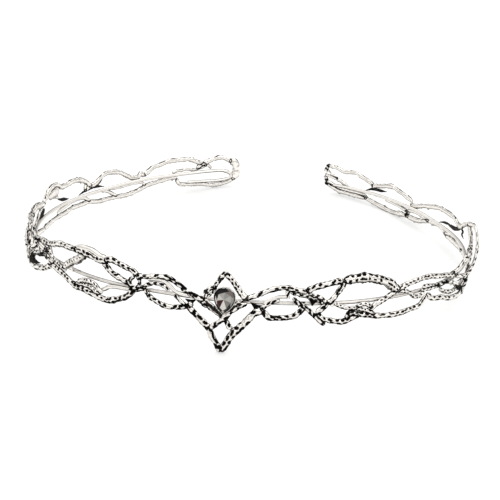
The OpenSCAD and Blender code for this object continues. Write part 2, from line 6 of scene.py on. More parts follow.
import bmesh
import bpy
import numpy as np
from bpy.props import FloatProperty, FloatVectorProperty, IntProperty, PointerProperty
from bpy.types import Operator, Panel, PropertyGroup
from mathutils import Matrix, Vector


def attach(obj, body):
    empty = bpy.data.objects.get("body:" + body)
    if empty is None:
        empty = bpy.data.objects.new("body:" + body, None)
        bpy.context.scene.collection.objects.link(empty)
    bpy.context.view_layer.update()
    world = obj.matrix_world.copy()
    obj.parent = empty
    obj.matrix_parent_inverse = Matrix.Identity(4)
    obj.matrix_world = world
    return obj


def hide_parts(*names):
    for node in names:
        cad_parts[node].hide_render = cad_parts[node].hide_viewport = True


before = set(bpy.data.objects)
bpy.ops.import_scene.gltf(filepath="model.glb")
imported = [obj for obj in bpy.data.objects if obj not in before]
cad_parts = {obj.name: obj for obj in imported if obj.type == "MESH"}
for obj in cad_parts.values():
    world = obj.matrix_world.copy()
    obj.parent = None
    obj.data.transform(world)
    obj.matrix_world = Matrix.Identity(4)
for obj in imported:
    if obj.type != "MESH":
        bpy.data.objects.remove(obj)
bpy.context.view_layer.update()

bl_info = {
    "name": "Open Twig Circlet",
    "version": (1, 0, 0),
    "blender": (4, 5, 0),
    "location": "3D View > Sidebar > Circlet",
    "description": "Builds an open circlet of pitted twigs in antiqued silver, with a faceted drop stone",
    "category": "Add Mesh",
}

MM = 0.001
UP = np.array([0.0, 0.0, 1.0])
FULL_TURN = 2 * math.pi

# Head width for which the stations of the strands are charted, in millimetres
CHART_WIDTH = 146.0
# Plan of the band, radius over half the head width: mean, then its cosine terms for once to four times the
# angle
PLAN = (0.963, 0.004, -0.0205, -0.0384, 0.0123)

# A strand's row is its width, its lift off the band, its knots and, where its bark is finer, its share of
# the size of the pits. A knot is a station along the band from the middle of the front, positive to the left
# as worn, and a height over the band's middle line, all in millimetres.

# Peak over the stone, the twigs that cross below it with the setting's arms, and the point
CENTRE = [
    [1.5, 0.4, [[0.8, 9.3], [0, 9.7], [-1.2, 8], [-2.4, 6], [-3, 4.9], [-4.4, 4.2], [-5.3, 3], [-5.7, 1.2]],
         0.75],
    [1.9, 0.4, [[0.3, 9.4], [2.2, 7.4], [3.7, 5.4], [5, 3.4], [6.9, 1.6]], 0.55],
    [1.8, 0.2, [[-8.2, 0.7], [-5.6, -1.1], [-3, -2.5], [-0.8, -4], [0.8, -5.9], [2.4, -8.5]]],
    [1.8, 0.6, [[6.8, 0.5], [4.2, -0.7], [2, -2.6], [0.3, -4.5], [-1.6, -6.4], [-3.9, -8.4]]],
    [2, 0.4, [[-11.4, -1.6], [-9.6, -3.4], [-7, -5.8], [-4.6, -8.2], [-3.2, -11], [-1.6, -13.6],
         [-0.4, -15.8]]],
    [2.4, 0.4, [[-0.4, -15.8], [1, -13], [2.8, -9.8], [5.6, -6.7], [7.7, -4.1], [9.4, -2.3], [11.6, -1.5]]],
    [1.2, 0.4, [[-2.6, 5.6], [-3, 4.2], [-3.1, 2.8]], 0.6],
    [1, 0.4, [[-5, 1.6], [-4.2, 2.4], [-3.2, 3.4]], 0.6],
    [0.8, 0.6, [[-6.4, 1.2], [-4.4, 0], [-2.4, -1.7], [-0.8, -3.2]], 0.6],
    [0.8, 0.9, [[6, 1.6], [4.4, 0.9], [2.6, -0.5], [1.2, -2.4]], 0.6]]

# Leaves in front on the left as worn
LEFT_FRONT = [
    [1.7, 0.5, [[6, 1.8], [8.6, 2.9], [11, 4], [14, 5.3], [18, 6], [21, 5.2], [24.6, 4.7]]],
    [1.2, 0.2, [[18.8, 5.6], [19.8, 4.2], [22, 3.5], [24.5, 3], [27, 2.4], [29.4, 0.6]]],
    [1.2, 0.5, [[24.2, 5], [25.6, 3.8], [28.2, 2.9], [30.2, 1.2]]],
    [1.3, 0.3, [[18.4, 5.2], [18.4, 3.8], [18.8, 2.2]]],
    [1.5, 0.6, [[20.2, 3], [21.4, 1.4], [23.6, 0], [26, -2.2], [28.2, -4.4], [30.2, -6.2]]],
    [1.8, 0.3, [[10.8, -1.4], [12.2, -2.6], [13.6, -3.8], [17, -3.8], [20.4, -3.3], [22.4, -1.8], [24, 0]]],
    [1.5, 0.4, [[10.6, -1.6], [12, -0.2], [14, 1.2], [16.4, 2]]],
    [1.8, 0.6, [[35.4, 8], [34.9, 6.4], [33.6, 4.3], [32.2, 2.3], [30.6, 0.8], [29, -0.7], [27.2, -2.1]]],
    [2, 0.4, [[24, 4.8], [26.4, 6], [30, 6.9], [35, 8]]],
    [3, 0.4, [[35, 7.8], [38, 8.1], [42, 8.2], [46, 7.3], [49.8, 5.8], [52, 4.1], [54, 2.6]]],
    [1.8, 0.3, [[27.4, -2.2], [29.4, -4.2], [32.4, -5], [35.6, -5.5], [38.4, -4.6], [41, -3.6]]],
    [1.4, 0.5, [[31.6, -0.2], [32.4, 0.9], [33.6, 0.2], [36, -0.8], [40, -1.4], [43, -2.4], [46, -3.8]],
         0.65],
    [1.4, 0.3, [[36.6, -5], [37.4, -2.8], [39, -1.8], [41.4, -0.4], [43.4, -0.6], [45.2, -2]], 0.65],
    [1.8, 0.4, [[37, -2.5], [40, -3.3], [43.4, -3.9], [47, -4.7], [51, -5.1], [55, -5.1], [59, -4.6],
         [62.4, -4.3], [64.2, -3.1], [65.8, -1.4]]],
    [1.8, 0.4, [[44.4, -2.4], [46.6, -0.6], [49.4, 0.6], [52, 2], [54.6, 3.3], [57.4, 4.1], [60, 4.5],
         [64, 4.8], [67.6, 4.6], [70.2, 4], [73, 3.4], [76, 2.8], [79.4, 1.8], [82, 1.4]], 0.85],
    [1.5, 0.5, [[53.2, 2.6], [56.4, 2], [58.6, 1], [59.6, 0], [61, -0.7], [63.6, -0.7], [63.8, 0.4]], 0.75],
    [1.5, 0.4, [[63.4, 0.6], [65, 0.8], [68, 0.6], [72, 0.6], [77, 0.6]], 0.75]]

# Side over the left temple
LEFT_SIDE = [
    [1.4, 0.3, [[63.8, 1.8], [67, 1.6], [70.6, 0.8], [73, 0.4], [74.6, 1], [77, 0.2], [79.8, -0.6],
         [82.4, -2], [86.6, -4.6]], 0.75],
    [1.8, 1.4, [[66.4, -1], [67.6, -2.4], [69.4, -3.2], [72.8, -3.6], [76.4, -4.8], [81, -5.6],
         [85.6, -5.6], [89.6, -4.4], [93.6, -2.8], [98, -2.2]]],
    [1.5, 0.5, [[72, -0.6], [74.6, -2.2], [77.6, -3.2], [80.6, -3.8], [84, -3.6]], 0.75],
    [1.8, 1, [[79, 2], [83, 2.8], [87, 4.4], [91.6, 5.4], [96, 5.2], [99.6, 4.2]]],
    [1.6, 2.8, [[80.4, 1.8], [84, 0.4], [88, 0], [92, 1.4], [96, 3.6], [99.4, 5], [103, 6.4], [106, 8.4],
         [109, 9.4], [112.8, 8.6]]],
    [1.8, 0.6, [[86, -5], [90.6, -3.6], [94.6, -1.4], [98.6, 1], [102, 3.2], [105, 4.6]]],
    [2.2, 0.5, [[95, 5.4], [99, 5], [103, 5], [107, 5.8], [110.6, 6.8], [113.6, 8]]],
    [2.2, 0.6, [[98, -2.2], [101.6, -3.2], [106.6, -4.2], [111.6, -3.9], [116, -3.4], [121.6, -3.2],
         [128.4, -3], [134.4, -2.8]]]]

# Arm behind the left ear
LEFT_ARM = [
    [1.8, 0.4, [[112.8, 8.6], [119.2, 6.2], [122, 4.4], [125.2, 4.3], [129, 5.3], [135.4, 5.6],
         [140.4, 5.3], [145.4, 4.2], [150, 3.1], [153.8, 1.7], [157.6, 0.8]]],
    [1.8, 0.4, [[157.2, 1.2], [157.6, 2.8], [159, 3.3], [162.2, 4], [165.2, 4.6], [168.5, 5.2], [172, 4.5],
         [175, 3.7], [177.6, 3.1], [179.4, 2.4]]],
    [1.6, 0.4, [[179.4, 2.2], [178.8, 3.2], [181.5, 4.1], [185, 5.1], [187.4, 5.8], [190, 5.5], [193, 5.1],
         [196, 5.8], [200.6, 6.3]]],
    [1.4, 0.4, [[201.2, 2.2], [198.6, 1.9], [196, 1.5], [194, 0.8], [192.2, 0.1], [190.8, -0.6]]],
    [1.6, 0.4, [[200.3, 6.6], [200.6, 5.2], [201.2, 3.8], [201.4, 2.4]]],
    [1.6, 0.4, [[201.4, 1.8], [200.6, 0.4], [200.6, -1], [200.8, -1.8]]],
    [0.9, 0.4, [[200.6, 4.6], [198.6, 3], [196.8, 2.4], [195.4, 1.4]]],
    [1.8, 0.4, [[133.4, -2.9], [136, -1.6], [139.2, -0.9], [145.6, -1.4], [148.8, -2.4], [152.8, -3.4],
         [157.6, -3.6], [160, -3.2]]],
    [1.4, 0.3, [[145.4, -1.4], [150, -0.8], [154.6, -0.6], [158, -1.2], [160, -2.2]]],
    [1.8, 0.4, [[157.6, -3.4], [160, -3.6], [163.4, -4], [167, -4.5], [171, -4.4], [175, -4], [178.4, -3.5],
         [182, -2.9]]],
    [1.3, 0.3, [[157.4, -1.9], [160, -1.6], [164, -1.2], [168, -0.9], [171.6, -0.5]]],
    [2, 0.4, [[200.8, -1.2], [198.6, -1.6], [196.4, -2.4], [194, -3], [190, -3.2], [186, -3.1], [183, -2.8],
         [181, -2.6]]],
    [1.6, 0.3, [[181.4, -2.2], [185, -1.7], [190, -1.8], [195, -1.7], [197.6, -1.1], [200.4, -0.2]]],
    [1.3, 0.2, [[118, -3], [121.6, -1.6], [126, -1], [131, -1.4], [134.6, -2.4]]]]

# Leaves in front on the right as worn
RIGHT_FRONT = [
    [1.8, 0.5, [[-27.6, 4.4], [-24, 5], [-20, 5.7], [-17, 5.8], [-14, 4.4], [-11, 2.3], [-8, 0.9],
         [-6, 0.6]]],
    [1.4, 0.5, [[-25.6, 1.2], [-23.2, 2.8], [-20.8, 3.4], [-18.2, 3], [-16.6, 1.8]]],
    [1.3, 0.3, [[-15.2, 0.8], [-13.4, -0.8], [-11.6, -2.2]]],
    [1.7, 0.3, [[-24.8, 1.2], [-23.2, -1.1], [-20.6, -2.5], [-17.6, -3.4], [-14.4, -3.2], [-11.2, -2.4],
         [-9.4, -1]]],
    [1.4, 0.4, [[-30, -0.6], [-27.2, 0], [-24.6, 1.2]]],
    [1.4, 0.5, [[-28, 4.2], [-29.7, 2.8], [-29.5, 1], [-28, 0.4], [-26.6, 1.5], [-26.4, 3.2], [-27.4, 4.4]]],
    [1.9, 0.4, [[-27.2, 4.4], [-28.6, 5.8], [-31, 6.5], [-34, 7.2], [-36.6, 7.8], [-38.8, 7]]],
    [2.2, 0.4, [[-38, 6.9], [-41.6, 6.6], [-45, 7.2], [-48, 7.5], [-51.4, 7.3]]],
    [2, 0.4, [[-50, 7.4], [-55.2, 7.1], [-59, 6.9], [-63.6, 5.4], [-67.4, 4.6], [-71, 4.4]]],
    [1.9, 0.3, [[-39.8, 6.4], [-38, 4.9], [-36.4, 3.6], [-34.6, 2.9], [-32.4, 2.2], [-30, 1.4]]],
    [2.6, 0.3, [[-47, 6.8], [-50, 4.4], [-52.6, 3], [-55.2, 1.2], [-57, -0.4]], 0.6],
    [1.5, 0.5, [[-67.4, 4.6], [-65.2, 3.4], [-64.2, 1.6], [-61.8, 0.2], [-58.8, -0.6], [-55.6, -0.8]]],
    [2, 0.5, [[-66, -1.2], [-62.6, -1.7], [-59, -2.3], [-55.8, -3.2], [-53.2, -4.1], [-50.6, -4.7],
         [-47.6, -4.7], [-44.6, -5.1], [-41.6, -5.5], [-39, -5.8], [-36.6, -5.5], [-33.8, -4.4],
         [-31.2, -3.1], [-29.4, -1.4], [-28.8, 0.2]]],
    [1.6, 0.6, [[-50, -2.8], [-47.6, -1.8], [-44.8, -1.4], [-42.6, -1.8], [-41, -3.2], [-39.4, -3.6]], 0.65],
    [1.6, 0.3, [[-51.4, -4.2], [-48.6, -3.4], [-45, -3.2], [-42.4, -4.2], [-40.4, -4]], 0.65]]

# Side over the right temple
RIGHT_SIDE = [
    [1.6, 0.5, [[-63, -0.6], [-65.8, 0], [-67.9, 0.6], [-70.4, 0.2], [-73.4, -0.6], [-76.6, -1.8],
         [-80.6, -3.6], [-84, -5]]],
    [2, 1.6, [[-62.6, -1], [-65.2, -2.4], [-68, -4], [-71, -5], [-74, -5.9], [-77.4, -6.5], [-81, -6.7],
         [-85, -6], [-89, -4.4], [-92, -3.4], [-96, -3.6], [-101, -4.8], [-106, -5.7], [-111.4, -5.8]]],
    [2.2, 0.4, [[-65.4, 3], [-68.2, 1.4], [-71.4, 0.6], [-75, 1.4], [-79, 3.2], [-82, 4.4]]],
    [2, 0.9, [[-65, 2.4], [-67.6, 2.2], [-70.6, 2.4], [-74, 3], [-77.4, 2.6], [-80.4, 3.4]]],
    [1.8, 0.8, [[-70.6, 4.6], [-74.6, 3.6], [-78, 3.6], [-82, 4.6], [-87, 5.6], [-91, 5.2]]],
    [2.4, 1.2, [[-89, 5.4], [-93, 4.8], [-97, 3.8], [-101, 3.6], [-105, 4.2], [-108.6, 3.8], [-111.4, 3.4]]],
    [1.8, 2.2, [[-71.6, 4.2], [-74.2, 2], [-77.6, -0.2], [-82, -1.8], [-87, -1.8], [-92, -0.2], [-96, 2.2],
         [-99.6, 3.8]]],
    [2.8, 0.6, [[-80, -5], [-84, -3], [-88, -1], [-92, -0.6], [-95, -1.2]]],
    [1.6, 0.4, [[-93, -1], [-98, -2.4], [-102, -1.6], [-106, 0.6], [-110, 3]]]]

# Arm behind the right ear
RIGHT_ARM = [
    [2, 0.4, [[-111, 3.2], [-114, 5.6], [-117.2, 7.6], [-121, 7.8], [-124.4, 6.2], [-128, 6.1],
         [-131.2, 6.6], [-135.6, 6.1], [-138.8, 4.5], [-141, 2.4]]],
    [4.2, 0.2, [[-115.4, 4.6], [-118, 5.3], [-120.4, 5.6], [-122.6, 5.6]], 0.6],
    [1, 0.3, [[-117.6, 4], [-120, 3.4], [-122.6, 2.6]]],
    [1.2, 0.3, [[-138.2, 1], [-138, 2.8], [-138.2, 4.2]]],
    [1.8, 0.4, [[-137.4, 1.4], [-140.4, 2.4], [-143.6, 3.2], [-147, 5.4], [-150, 6], [-155, 5.3],
         [-158.4, 3.6], [-161.6, 1.9], [-164.2, 1.7], [-165.4, 3], [-167.4, 1.9]]],
    [1.8, 0.4, [[-167, 1.8], [-169.2, 3.4], [-171.2, 4.6], [-174.4, 5.2], [-178.2, 6.1], [-182.6, 6.1],
         [-187.6, 6], [-190.6, 4.7], [-193, 3.8], [-194.6, 3.2]]],
    [1.8, 0.4, [[-190.6, 2], [-192.4, 3.3], [-195.4, 4.6], [-198.6, 5.6], [-201, 5.9], [-203.4, 4.9],
         [-204.8, 4.2]]],
    [3.2, 0.4, [[-204.2, 4.8], [-206.2, 3.4], [-206.9, 1], [-206.6, -1.2], [-205.4, -3]]],
    [1.2, 0.3, [[-196.8, 1.6], [-195.2, 3], [-193, 2.4], [-191, 1.8], [-188.6, 1.6], [-186, 2.1],
         [-184, 1.8], [-182, 1.8], [-180, 1.2]]],
    [1.8, 0.4, [[-111.4, -5.8], [-117, -5.1], [-122.8, -4.5], [-127, -4.2], [-131.2, -3.5], [-135.6, -3.5],
         [-140, -3.3], [-145, -4.2], [-150, -4.2], [-155, -4.3], [-160, -4.3], [-165, -3.3], [-167.6, -2.4],
         [-170.4, -1.9], [-175, -1.3], [-179.4, -0.7], [-182.4, -0.6]]],
    [1.3, 0.3, [[-154, -3.8], [-151.4, -2.2], [-149, -1], [-146.4, -0.4]]],
    [1.5, 0.3, [[-140.4, -2.9], [-138.6, -1.8], [-136.6, -0.9], [-133, -0.8], [-130, -1], [-127.6, -1.5],
         [-124, -2.2], [-121.6, -3.2]]],
    [1.2, 0.3, [[-167.6, -1.8], [-165.6, -0.5], [-160, -0.4], [-155, -0.7], [-150, -0.3]]],
    [1.7, 0.4, [[-182, -1.4], [-183.4, -3.6], [-187, -4.2], [-192.4, -4.5], [-197.4, -5.3], [-202.6, -4.5],
         [-206.4, -2.4]]]]

# Smooth strips that run along some leaves
STRIPS = [
    [1.3, 0.4, [[-24, 4.2], [-21, 4.8], [-18.2, 4.5], [-16.4, 3.2], [-14.6, 1.8], [-12, 1.2], [-9, 1]]],
    [1, 0.3, [[11.4, 0.6], [13.6, 2], [16, 2.9], [18.6, 3]]],
    [1.9, 0.1, [[-38.6, 7.6], [-41, 7.8], [-44.6, 8.8], [-48, 8.6], [-51.4, 7.9]]],
    [1.3, 0.1, [[-40.6, -3.2], [-39.2, -2.6], [-37.4, -1.4], [-34.6, -0.8], [-31.6, -0.6], [-29.8, -0.4]]]]

# Small dark strands in forks and gaps: some are leaves left black, and some are painted shade, dark strips
# laid where shade falls between parts
DARK_LEAVES_AND_SHADE = [
    [1.3, 0.3, [[171, 2.5], [174, 2], [176.4, 1.9], [179, 1.5], [182.4, 0]]],
    [0.9, 0.3, [[122.6, 4.2], [119.4, 3.4], [120.4, 2.2], [117.6, 1.4]]],
    [1.6, 0.3, [[133, 1.5], [129.8, 1.7], [126.4, 2.1], [121.6, 3.8]]],
    [0.9, 0.3, [[129, 1.8], [133, 1.8], [137, 1.1], [139.4, 0.2]]],
    [1.4, 0.3, [[-148, 1], [-143.4, 2], [-140.8, 1.9], [-138.4, 1.6], [-134.4, 0.4]]],
    [1.2, 0.3, [[-147, 4.4], [-145.2, 3], [-142.6, 2.4], [-138.6, 1.5]]],
    [1.3, 0.3, [[-121.8, 2.3], [-124.6, 1.4], [-127, 0.9], [-129, 0.6]]],
    [2.8, 0.3, [[-112, 1.6], [-109.4, 0.9], [-106.8, 0.2], [-104.4, -0.6]]],
    [1.3, 0.3, [[-108, 0.2], [-105, -0.8], [-101.4, -2.2]]],
    [2.6, 1.6, [[-75, -5], [-77.2, -4.9], [-79.4, -4.6], [-82, -4]]],
    [1.2, 0.9, [[-68, -0.3], [-71, -0.7], [-74, -1.6], [-77, -2.8]]],
    [1.6, 1, [[-65.2, -0.3], [-66.8, 0], [-68.4, 0.3]]],
    [1.2, 1.5, [[-90, 0.2], [-86.6, -1.8], [-83.6, -3.4], [-81, -4.4]]],
    [1.8, 1.6, [[82, -3.4], [84, -3.7], [86.4, -4.2]]],
    [1.3, 1.2, [[101, 0.2], [97, -0.4], [93, -0.8], [89, -1.5], [85, -2]]],
    [1.3, 0.9, [[-6, 0.3], [-3.6, -1.4], [-0.6, -3.9], [0.4, -4.6]]],
    [1.3, 1.1, [[5.6, 0.8], [3, -0.9], [0.8, -3.6]]],
    [1.6, 0.6, [[-6.1, 2.4], [-5.4, 3.2], [-4.8, 4]]]]

# Inner wire, and the hairpin in which it ends on the right as worn
WIRE = [[-204, 0.2], [-200, 0.9], [-183, 0.6], [-165, 0.8], [-145, 0.3], [-122, -0.1], [-100, -0.4],
    [-80, -0.3], [-60, -0.3], [-45, -0.4], [-32, -0.1], [-20, 0.4], [0, 0.5], [20, 0.5], [40, 0.2],
    [60, 0.3], [80, 0.2], [110, 0.1], [136, 0.1], [150, 0.6], [162, 0.5], [173, 0.3], [184, -0.2],
    [197, -0.9]]
HAIRPIN = [[-200.8, 0.9], [-203.8, -0.2], [-204.6, -1.5], [-202.6, -2.7], [-197, -3.2], [-186, -2.9]]

# Spurs of broken bark: station, height, heading in degrees, length, thickness
SPURS = [
    [-3.6, -11.4, 205, 0.9, 1], [-23, -1.4, 250, 1.5, 1.1], [19, 6.3, 80, 0.7, 0.8],
    [42, 8.9, 60, 0.9, 1.1], [-36.8, 8.2, 100, 0.8, 1], [-50.8, 8, 110, 0.8, 0.9],
    [-41, -5.8, 250, 0.8, 1], [55, -5.5, 280, 0.8, 0.9], [-165.4, 2.3, 95, 2, 1],
    [-183.6, -4, 260, 0.9, 1], [-197.4, -5.6, 265, 0.8, 0.9], [187, 6, 100, 0.8, 0.9],
    [-127.6, -4.8, 270, 0.9, 1.1], [68, 4.9, 85, 0.8, 0.9], [12.8, -3.6, 250, 0.8, 0.9],
    [-189.4, 5.6, 60, 0.9, 0.9], [-34.8, 3.2, 80, 1.2, 1], [160, 3.8, 85, 1.2, 1.1],
    [167.4, 5, 70, 1.2, 1.2], [137, 5.8, 100, 0.9, 1], [-118.4, 7.6, 95, 0.9, 1.5],
    [-122.6, 6.8, 120, 0.8, 1.3], [53, 2.6, 20, 0.9, 1.6]]

# Webs of metal that fill the forks, each a triangle: three times station and height
WEBS = [
    [-11.8, -0.2, -8.2, 0.2, -10, -3], [7.6, 0.8, 11.8, -0.2, 9, -2.6], [-2.4, -2.4, 2.6, -2.2, 0.2, -4.6],
    [20.6, 1.8, 24, 1.2, 22, -0.6], [24, 2.8, 28.6, 1.8, 26, -0.2], [27.4, 1.8, 30.8, 1.6, 29, -0.6],
    [-44.6, -3.2, -40.6, -2.8, -41, -4.8], [38, -1.4, 44.2, -2, 40, -3.4], [41, -2.4, 46, -3.4, 43, -4.2],
    [77, 0.4, 82, 0, 80, -2], [86, -3.4, 90, -3.4, 87, -5.4], [-55.6, 0, -53, 1.6, -52.8, -0.6],
    [-64, 1, -61, 0.6, -62.4, -0.8]]

# Twigs by the stretch of the band that they cover
STRETCHES = {
    "twigs_centre": CENTRE,
    "twigs_front_left": LEFT_FRONT,
    "twigs_side_left": LEFT_SIDE,
    "twigs_arm_left": LEFT_ARM,
    "twigs_front_right": RIGHT_FRONT,
    "twigs_side_right": RIGHT_SIDE,
    "twigs_arm_right": RIGHT_ARM,
}

# Distance between the rings of a twig, a smooth strip and the wire, in millimetres, sides of the rings of
# twigs and of everything plain, and rings of a spur
TWIG_STEP = 0.2
STRIP_STEP = 0.4
WIRE_STEP = 0.8
TWIG_SIDES = 24
PLAIN_SIDES = 16
SPUR_RINGS = 9
# Thickness of the hairpin, as a share of the wire's
HAIRPIN_SHARE = 0.95
# Thickness that even a broad leaf doesn't pass, and the share of it that the inner half of a section has
BROAD_DEPTH = 2.2
INNER_SHARE = 0.8
# A twig that lifts further off the band than this rises from it and comes down again
FLAT_LIFT = 0.7
# Twigs beyond this station carry buds and scars on their edges. There is one for so many millimetres of
# twig, and a swelling for so many
BUD_STATION = 112.0
BUD_EVERY = 2.2
SWELLING_EVERY = 9

# Pits are large in front and fine at the sides: stations, and the size of the pits there
PIT_STATIONS = (0, 14, 36, 64, 100)
PIT_GRADES = (1.38, 1.26, 1.02, 0.8, 0.66)
# The sides are seen end on, so pits there are drawn longer and further apart, to show at all
STRETCH_STATIONS = (62, 78, 108, 122)
STRETCH_SHARES = (1.0, 2.0, 2.0, 1.2)
# Staggered rows of pits on a wide, a middling and a narrow twig, and smaller ones that notch the edges:
# angle from the outer side in degrees, spacing and size
WIDE_ROWS = [(-56, 1.0, 1.0), (0, 1.0, 0.85), (52, 1.0, 1.0)]
MIDDLING_ROWS = [(-36, 1.0, 1.0), (32, 1.0, 1.0)]
NARROW_ROWS = [(-24, 1.1, 0.9), (30, 1.1, 0.8)]
EDGE_ROWS = [(-86, 1.2, 0.75), (88, 1.2, 0.75)]
# A twig is wide or middling from so many times the size of its pits on, a wide one with a margin in
# millimetres
WIDE_FROM = 2.2
MIDDLING_FROM = 1.45
WIDE_MARGIN = 0.5
# Share of the pits that run on, and how much longer and narrower those are
LONG_PITS = 0.12
LONG_LENGTH = 1.8
LONG_WIDTH = 0.8
# Rows of pits up to this size are small, and the bark leaves out so many times more of them
SMALL_ROW = 0.8
SMALL_MISSING = 2.6
# Grooves along the edges: their angles, and half their width in millimetres
GROOVE_ANGLES = (-100, 104)
GROOVE_HALF_WIDTH = 0.17

# Beyond this station the tips of twigs are cut and blackened, with so much black
CUT_STATION = 170.0
CUT_BLACK = 0.29
# Shares of the black, by station, that polishing takes out of crevices, and that are taken out of the
# tarnish and painted shade on the edges
POLISH_STATIONS = (45, 64, 125)
EDGE_FADE = (0.0, 0.5, 0.26)
CREVICE_POLISH = (0.0, 0.42, 0.38)
# Crevices are black this close to another twig, and twigs further off than the second are passed over, in
# metres
CREVICE_REACH = 0.0003
NEIGHBOUR_REACH = 0.003
# Points that are looked at together, few enough to save memory
POINTS_AT_ONCE = 4000
# Fork at the end of the left arm, where the polish didn't reach: its station, the heights between its arms,
# and how black it is
FORK_STATION = 199.4
FORK_HEIGHTS = (1.6, 3.8)
FORK_BLACK = 0.4

# Rims of a web from its outer to its inner face: how far in, and how far out as a share of its thickness
WEB_RIMS = ((0.14, 0.5), (0.05, 0.5), (0, 0.15), (0, -0.15), (0.05, -0.5), (0.14, -0.5))
# How far the sides of a web are drawn in, as metal creeps along a fork
WEB_CREEP = 0.28
# Webs are left black up to this station, and nearly clean beyond it
BLACK_WEBS = 36.0
CLEAN_WEB = 0.2

# How full the drop's lower sides are, and the largest value of its width's formula for that
DROP_FULLNESS = 0.7
DROP_WIDEST = 0.82
# Place of the stone's middle on the band, its turn in degrees, and its girdle and point outside the wire
STONE_STATION = 0.2
STONE_HEIGHT = 1.4
STONE_TURN = -4.0
GIRDLE_OUT = 2.5
GIRDLE_THICKNESS = 0.3
PAVILION_HEIGHT = 1.1
# Foot and rim of the setting's wall. It is upright from the seat up, and narrows below it to a share at the
# foot
BEZEL_FOOT = 0.4
BEZEL_RIM = 0.05
BEZEL_SEAT = 2.4
FOOT_SHARE = 0.73
BEZEL_CORNERS = 96
# Levels of the stone from table to foot: share of its outline, corners, turn in degrees, height over the
# girdle as a share of the crown's height, or of the pavilion's where it is negative
STONE_LEVELS = [(0.74, 8, 0, 1), (0.9, 8, 22.5, 0.6), (1, 16, 0, 0.2), (1, 16, 0, 0), (0.3, 8, 0, -1)]
# A smaller level's middle sits higher, by this share of the stone's height
LEVEL_RISE = 0.06
# Facets that turn by less than this are one
FACET_TURN = math.radians(1.5)
# The table is split round this point into faces painted as the pavilion seen through it, in shares of the
# stone's width and height
CULET = (-0.02, 0.09)
# Painted light: tone and warmth of the facets of the pavilion, painted on the table as if seen through it,
# and of the crown: up to which angle, clockwise from the top
TABLE_PAINTED_LIGHT = [(30, 0.42, 0.05), (60, 0.3, 0.25), (100, 0.6, 0), (148, 0.36, 0.2), (212, 1, 0),
               (262, 0.02, 0.8), (312, 0.82, 0), (361, 0.54, 0)]
CROWN_PAINTED_LIGHT = [(12, 0, 0), (55, 0.3, 0.35), (112, 0.45, 0), (172, 0, 0), (188, 0.8, 0), (240, 0.04, 0),
               (286, 1, 0), (361, 0, 0)]

# Stance on the floor: lift of the front and lean to the side in degrees, and the band's place in
# millimetres
REST_PITCH = 4.4
REST_ROLL = 2.15
REST_PLACE = (-0.8, -0.6, 10.84)
STANCE = (Matrix.Translation(Vector(REST_PLACE) * MM) @ Matrix.Rotation(math.radians(REST_ROLL), 4, "Y")
          @ Matrix.Rotation(-math.radians(REST_PITCH), 4, "X"))
# Point that the camera looks at, in the band's own frame, in millimetres
CAMERA_AIM = (-0.4, 0.0, -7.17)
SENSOR = 36.0
FLOOR_REACH = 3.0
# Softboxes: name, place, size in metres and power in watts
SOFTBOXES = [("key", (-0.45, -0.5, 0.75), 0.3, 0.5), ("fill", (0.6, -0.45, 0.5), 0.5, 0.6),
             ("top", (0.05, 0.25, 0.8), 1.0, 1.6)]
# Colour inputs of a mix node
COLOUR_A = 6
COLOUR_B = 7


def linear(hex_colour):
    """An sRGB hex colour as linear RGBA."""
    parts = [int(hex_colour[i:i + 2], 16) / 255 for i in (1, 3, 5)]
    return [c / 12.92 if c <= 0.04045 else ((c + 0.055) / 1.055) ** 2.4 for c in parts] + [1.0]


def metres(name, about, default, low, high):
    """A length for the panel, in metres."""
    return FloatProperty(name=name, description=about, default=default, min=low, max=high, unit="LENGTH")


def ratio(name, about, default, low, high):
    """A share for the panel."""
    return FloatProperty(name=name, description=about, default=default, min=low, max=high, subtype="FACTOR")


def colour(name, about, hex_colour):
    """A colour for the panel."""
    return FloatVectorProperty(name=name, description=about, subtype="COLOR", size=4, min=0, max=1,
                               default=linear(hex_colour))


def degrees(name, about, default):
    """An angle for the panel."""
    return FloatProperty(name=name, description=about, default=math.radians(default), subtype="ANGLE")


class CircletSizes(PropertyGroup):
    head_width: metres("Head Width", "Width inside the band, between the two sides of the inner wire",
                       0.146, 0.134, 0.164)
    wire_diameter: metres("Wire Diameter", "Thickness of the smooth inner wire", 0.0012, 0.001, 0.0018)
    twig_size: ratio("Twig Size", "Size of the twigs, 1 as charted", 1.0, 0.9, 1.2)
    twig_depth: ratio("Twig Depth", "Thickness of a twig from its inner to its outer face over its width",
                      0.8, 0.65, 1.0)
    twig_out: metres("Twig Standoff", "Distance of the twigs' middle outside the middle of the wire",
                     0.0008, 0.0007, 0.00084)
    web_thickness: metres("Web Thickness", "Thickness of the metal that fills a fork", 0.0007, 0.0004, 0.001)


class PitSizes(PropertyGroup):
    spacing: metres("Pit Spacing", "Distance from pit to pit along one row", 0.0018, 0.0012, 0.004)
    length: metres("Pit Length", "Length of a pit along its twig", 0.00125, 0.0005, 0.003)
    width: metres("Pit Width", "Width of a pit across its twig", 0.00072, 0.0003, 0.0012)
    depth: metres("Pit Depth", "Depth of a pit under the twig's surface", 0.00026, 0.0, 0.0004)
    missing: ratio("Missing Pits", "Share of the pits that the bark leaves out", 0.12, 0.0, 1.0)
    seed: IntProperty(name="Seed", description="Choice of the bark's random pits", default=7, min=0)


class StoneSizes(PropertyGroup):
    width: metres("Stone Width", "Width of the drop stone", 0.0059, 0.0055, 0.0066)
    height: metres("Stone Height", "Height of the drop stone, from its round top to its point",
                   0.0079, 0.0074, 0.0084)
    crown: metres("Crown Height", "Height of the stone's table over its girdle", 0.0013, 0.0008, 0.0018)
    gap: metres("Gap", "Gap between the stone and its setting", 0.0001, 0.00008, 0.0002)
    wall: metres("Wall Thickness", "Thickness of the setting's wall", 0.0003, 0.0003, 0.0006)


